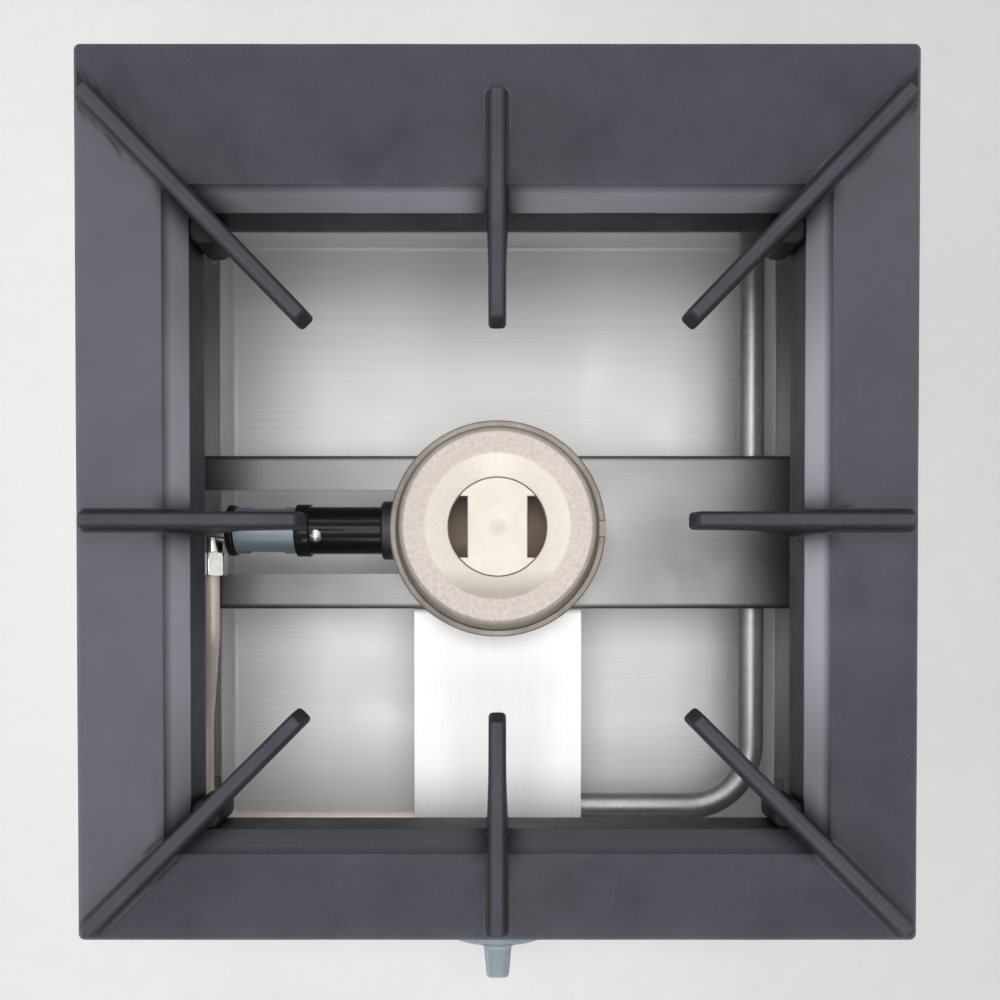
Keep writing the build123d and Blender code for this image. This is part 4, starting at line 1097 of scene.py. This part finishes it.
head = lathe([(0, flange_end, 0), (elbow_head, flange_end, 0.6), (elbow_head, elbow_end, 2.0),
              (0, elbow_end, 0)], tube_axis, left_ward, columns=64)
arm = lathe([(0, 0, 0), (elbow_neck, 0, 0.5), (elbow_neck, elbow_arm, 0.5), (0, elbow_arm, 0)],
            (elbow_x, 0, tube_z), front_ward, columns=64)
add_piece("nickel_elbow", [head, arm], "injector_elbow")

# %% Union nuts and pipes
tap_z = 89.0
tap_left, tap_right = -30.0, 32.0
outlet_y, inlet_y = -166.0, -158.5
feed_x, feed_radius, feed_bend = -170.0, 4.0, 20.0
feed_leaves, feed_arrives = -58.5, outlet_y + 56
pipe_x, pipe_radius, pipe_bend = 147.0, 7.5, 36.0
pipe_rear = 196.0
union_nut = (13, 7.5, 4.3)          # length, half across the flats, bore
pipe_nut = (15, 12, 7.8)
chamfer_reach = 1.15
chamfer_steps = 6
washer_face = 0.98
bend_steps = 14
run_spacing = 12.0


def nut(start, axis, length, flats, bore, columns=96):
    """Hexagon nut: radius = the smaller of flats / cos(angle from the nearest flat) and a chamfer cone."""
    angle = full_turn(columns) + pi / columns
    hexagon = flats / np.cos((angle + pi / 6) % (pi / 3) - pi / 6)
    chamfer = flats * (2 / sqrt(3) - 1) / sqrt(3)
    rise = np.linspace(0, chamfer_reach * chamfer, chamfer_steps)
    height = np.concatenate([[0], rise, length - rise[::-1], [length, 0]])
    cone = washer_face * flats + sqrt(3) * np.concatenate([rise, rise[::-1]])
    radius = np.concatenate([np.full((1, columns), bore), np.minimum(hexagon, cone[:, None]),
                             np.full((2, columns), bore)])
    return turned(radius, height[:, None], start, axis, angle)


def tube(route, radius, bend, columns=48):
    """Round tube, closed at its ends, along straight runs joined by arcs.

    Its surface is path + radius * (cos(angle) * side + sin(angle) * over).
    """
    path = dense(rounded(route, bend, steps=bend_steps, closed=False), run_spacing)
    ahead = unit(np.gradient(path, axis=0))
    side = unit(np.cross(ahead, (0.0, 0.0, 1.0)))
    over = np.cross(side, ahead)
    angle = full_turn(columns)[:, None]
    ring = np.cos(angle) * side[:, None] + np.sin(angle) * over[:, None]
    body = path[:, None] + radius * ring
    caps = np.repeat(path[[0, -1], None], columns, axis=1)
    return np.concatenate([caps[:1], body, caps[1:]])


arm_end = (elbow_x, -elbow_arm, tube_z)
outlet, inlet = (tap_left, outlet_y, tap_z), (tap_right, inlet_y, tap_z)
pipe_start = (pipe_x, pipe_rear, tap_z)
add_piece("nickel_union_nuts",
          [nut(arm_end, front_ward, *union_nut), nut(outlet, left_ward, *union_nut)], "tube_nuts")
feed_route = [arm_end, (elbow_x, feed_leaves, tube_z), (feed_x, feed_arrives, tap_z),
              (feed_x, outlet_y, tap_z), outlet]
add_piece("copper_tube", [tube(feed_route, feed_radius, feed_bend)], "copper_feed_tube")
pipe_route = [pipe_start, (pipe_x, inlet_y, tap_z), inlet]
add_piece("steel_supply_pipe", [tube(pipe_route, pipe_radius, pipe_bend)], "supply_pipe")
add_piece("brass_pipe_nuts",
          [nut(inlet, right_ward, *pipe_nut), nut(pipe_start, front_ward, *pipe_nut)], "pipe_nuts")

# %% [markdown]
# ## Gas inlet
# Behind the rear panel stands a half-inch male pipe thread. A thread could be a bump map, but from the side
# its teeth show in the outline, so the radius itself rises and falls along a helix.

# %% Threaded inlet
thread_radius = 10.48
thread_pitch = 1.814
thread_depth = 1.1
thread_lead = 1.6
thread_overlap = 1.0
thread_columns = 72
rows_per_turn = 10
inlet_bore = 6.0
rear_y = 222.0
rear_sheet = 1.5
hex_length, hex_flats = 8.7, 14
locknut_length, locknut_play = 5, 0.3
thread_foot = rear_y + hex_length
thread_end = box_mm("inlet_fitting")[1][1]
inlet_axis = (pipe_x, 0, tap_z)

inner_end = rear_y + thread_overlap
angle = full_turn(thread_columns)
thread_rows = int((thread_end - thread_foot) / thread_pitch * rows_per_turn)
height = np.linspace(thread_foot - thread_overlap, thread_end, thread_rows)[:, None]
tooth = np.abs(((height / thread_pitch - angle / (2 * pi)) % 1) * 2 - 1)
lead_in = np.clip((thread_end - height) / thread_lead, 0, 1)
crest = thread_radius - thread_depth * (1 - lead_in)
thread = np.minimum(thread_radius - thread_depth * tooth, crest)
core = np.full((1, len(angle)), inlet_bore)
thread = np.concatenate([core, thread, core, core])
height = np.concatenate([height[:1], height, height[-1:], height[:1]])
inner = lathe([(inlet_bore, pipe_rear, 0.4), (thread_radius, pipe_rear, 0.4),
               (thread_radius, inner_end, 0.4), (inlet_bore, inner_end, 0.4)],
              inlet_axis, rear_ward, spacing=6.0, columns=thread_columns)
add_piece("brass_inlet", [turned(thread, height, inlet_axis, rear_ward, angle),
                          nut((pipe_x, rear_y, tap_z), rear_ward, hex_length, hex_flats, inlet_bore), inner],
          "inlet_fitting")
locknut = nut((pipe_x, rear_y - rear_sheet, tap_z), front_ward, locknut_length, hex_flats,
              thread_radius + locknut_play)
add_piece("brass_inlet_locknut", [locknut], "inlet_locknut")

# %% [markdown]
# ## Knob
# The knob is moulded in one piece: a round skirt, hollow behind, and an upright grip that flares where it
# leaves the face. The skirt is a turned profile, and the grip is the same rib as a finger, stood on end.

# %% Knob
knob_low, knob_high = box_mm("knob")
knob_rear, knob_front = knob_high[1], knob_low[1]
skirt_depth, hollow_depth = 28.4, 20.7
skirt_radius, face_radius, hollow_radius = 33.0, 32.2, 29.0
hub_radius, hub_bore = 8.0, 3.6
grip_half = 8.0
grip_reach = 29.0
grip_flare = 3.0
grip_draft = 5.0                    # degrees
grip_edge, grip_foot, grip_sink = 1.3, 0.5, 1.0
grip_steps = 30

skirt = lathe(
    [(hub_bore, 0, 0.4), (hub_radius, 0, 0.5), (hub_radius, hollow_depth, 1),
     (hollow_radius, hollow_depth, 1), (hollow_radius, 0, 0.6), (skirt_radius, 0, 0.8),
     (face_radius, skirt_depth, 2.5), (hub_bore, skirt_depth, 0.4)],
    (0, knob_rear, tap_z), front_ward, spacing=3.0, columns=128)
knob_face = knob_rear - skirt_depth
grip_rise = knob_face - knob_front
spine = np.linspace(grip_half - grip_reach, grip_reach - grip_half, grip_steps)
ridge_half = grip_half - grip_rise * tan(radians(grip_draft))
grip = rib(spine, grip_rise, ridge_half, grip_edge, grip_draft, grip_foot,
           lambda along: np.full(np.shape(along), grip_rise + grip_sink),
           lambda along, across, rise: rise, grip_flare, square=4.0)
grip = np.stack([grip[..., 1], knob_face - grip[..., 2], tap_z + grip[..., 0]], -1)
add_piece("moulded_knob", [skirt, grip], "knob", wear=2.0)

# %% [markdown]
# ## Screws and feet
# Small fasteners tell the size of an object. Each screw has a low dome with a cross recess pressed into it;
# the recess is cut into the dome's height, since a bump would vanish in the outline.

# %% Screws with cross recesses
dome_drop = 0.75
dome_steps = 15
recess_half = 0.16
recess_reach = 0.62
recess_depth = 0.55
recess_taper = 0.5


def screw(seat, outward, radius, height, shank, length, columns=64):
    """Domed screw: height * (1 - drop * r^2), less the recess where a cross of two bars covers the head."""
    angle = full_turn(columns)
    r = np.linspace(0, 1, dome_steps)[:, None]
    dome = height * (1 - dome_drop * r ** 2) * np.ones(columns)
    bar = np.minimum(np.abs(r * np.cos(angle)), np.abs(r * np.sin(angle)))
    cut = (bar < recess_half * (1 - recess_taper * r)) & (r < recess_reach)
    dome = dome - recess_depth * height * cut
    rim = np.concatenate([dome, np.zeros((2, columns)), np.full((2, columns), -length)])
    width = np.concatenate([radius * r, [[radius], [shank], [shank], [0.0]]])
    return turned(width, rim, seat, outward, angle)


sheet_screw = (4, 2.4, 2, 6)        # head's radius and height, shank's radius and length
shield_screw = (3, 2.4, 2, 6)
lock_screw = (3.4, 2.4, 1.7, 1.5)
side_x = 197.0
panel_rows, panel_levels = (-178.0, 203.0), (57.0, 158.0)
bar_rows, bar_level = (-25.0, 25.0), bar_top - 6.0
shield_columns, shield_y, shield_level = (-30.0, 30.0), -44.5, bar_top - 8.0
lock_x = -98.0
lock_lean = radians(15)
lock_out = np.array([0.0, -np.sin(lock_lean), np.cos(lock_lean)])

panel_screws = [screw((side * side_x, y, z), (side, 0, 0), *sheet_screw)
                for side in (-1, 1) for y in panel_rows for z in panel_levels]
bar_screws = [screw((side * side_x, y, bar_level), (side, 0, 0), *sheet_screw)
              for side in (-1, 1) for y in bar_rows]
shield_screws = [screw((x, shield_y, shield_level), front_ward, *shield_screw) for x in shield_columns]
lock_seat = np.array([lock_x, 0, tube_z]) + tube_radius * lock_out
add_piece("cross_head_panel_screws", panel_screws, "panel_screws")
add_piece("cross_head_bar_screws", bar_screws, "cross_bar_screws")
add_piece("cross_head_shield_screws", shield_screws, "shield_screws")
add_piece("bright_lock_screw", [screw(lock_seat, lock_out, *lock_screw)], "shutter_lock_screw")

# %% Rubber feet
foot_places = [(x, y) for x in (-180.0, 180.0) for y in (-157.0, 182.0)]
foot_height, foot_hollow = 25, 9
hollow_bore, foot_bore = 7, 3.3
foot_base, foot_shoulder = 14.5, 17
foot = lathe(
    [(foot_bore, foot_hollow, 0.5), (hollow_bore, foot_hollow, 1), (hollow_bore, 0, 0.8), (foot_base, 0, 2),
     (foot_shoulder, foot_height, 1.5), (foot_bore, foot_height, 0.5)],
    (0, 0, 0), up, spacing=3.0, columns=64)
add_piece("moulded_feet", [foot + (x, y, 0) for x, y in foot_places], "rubber_feet")
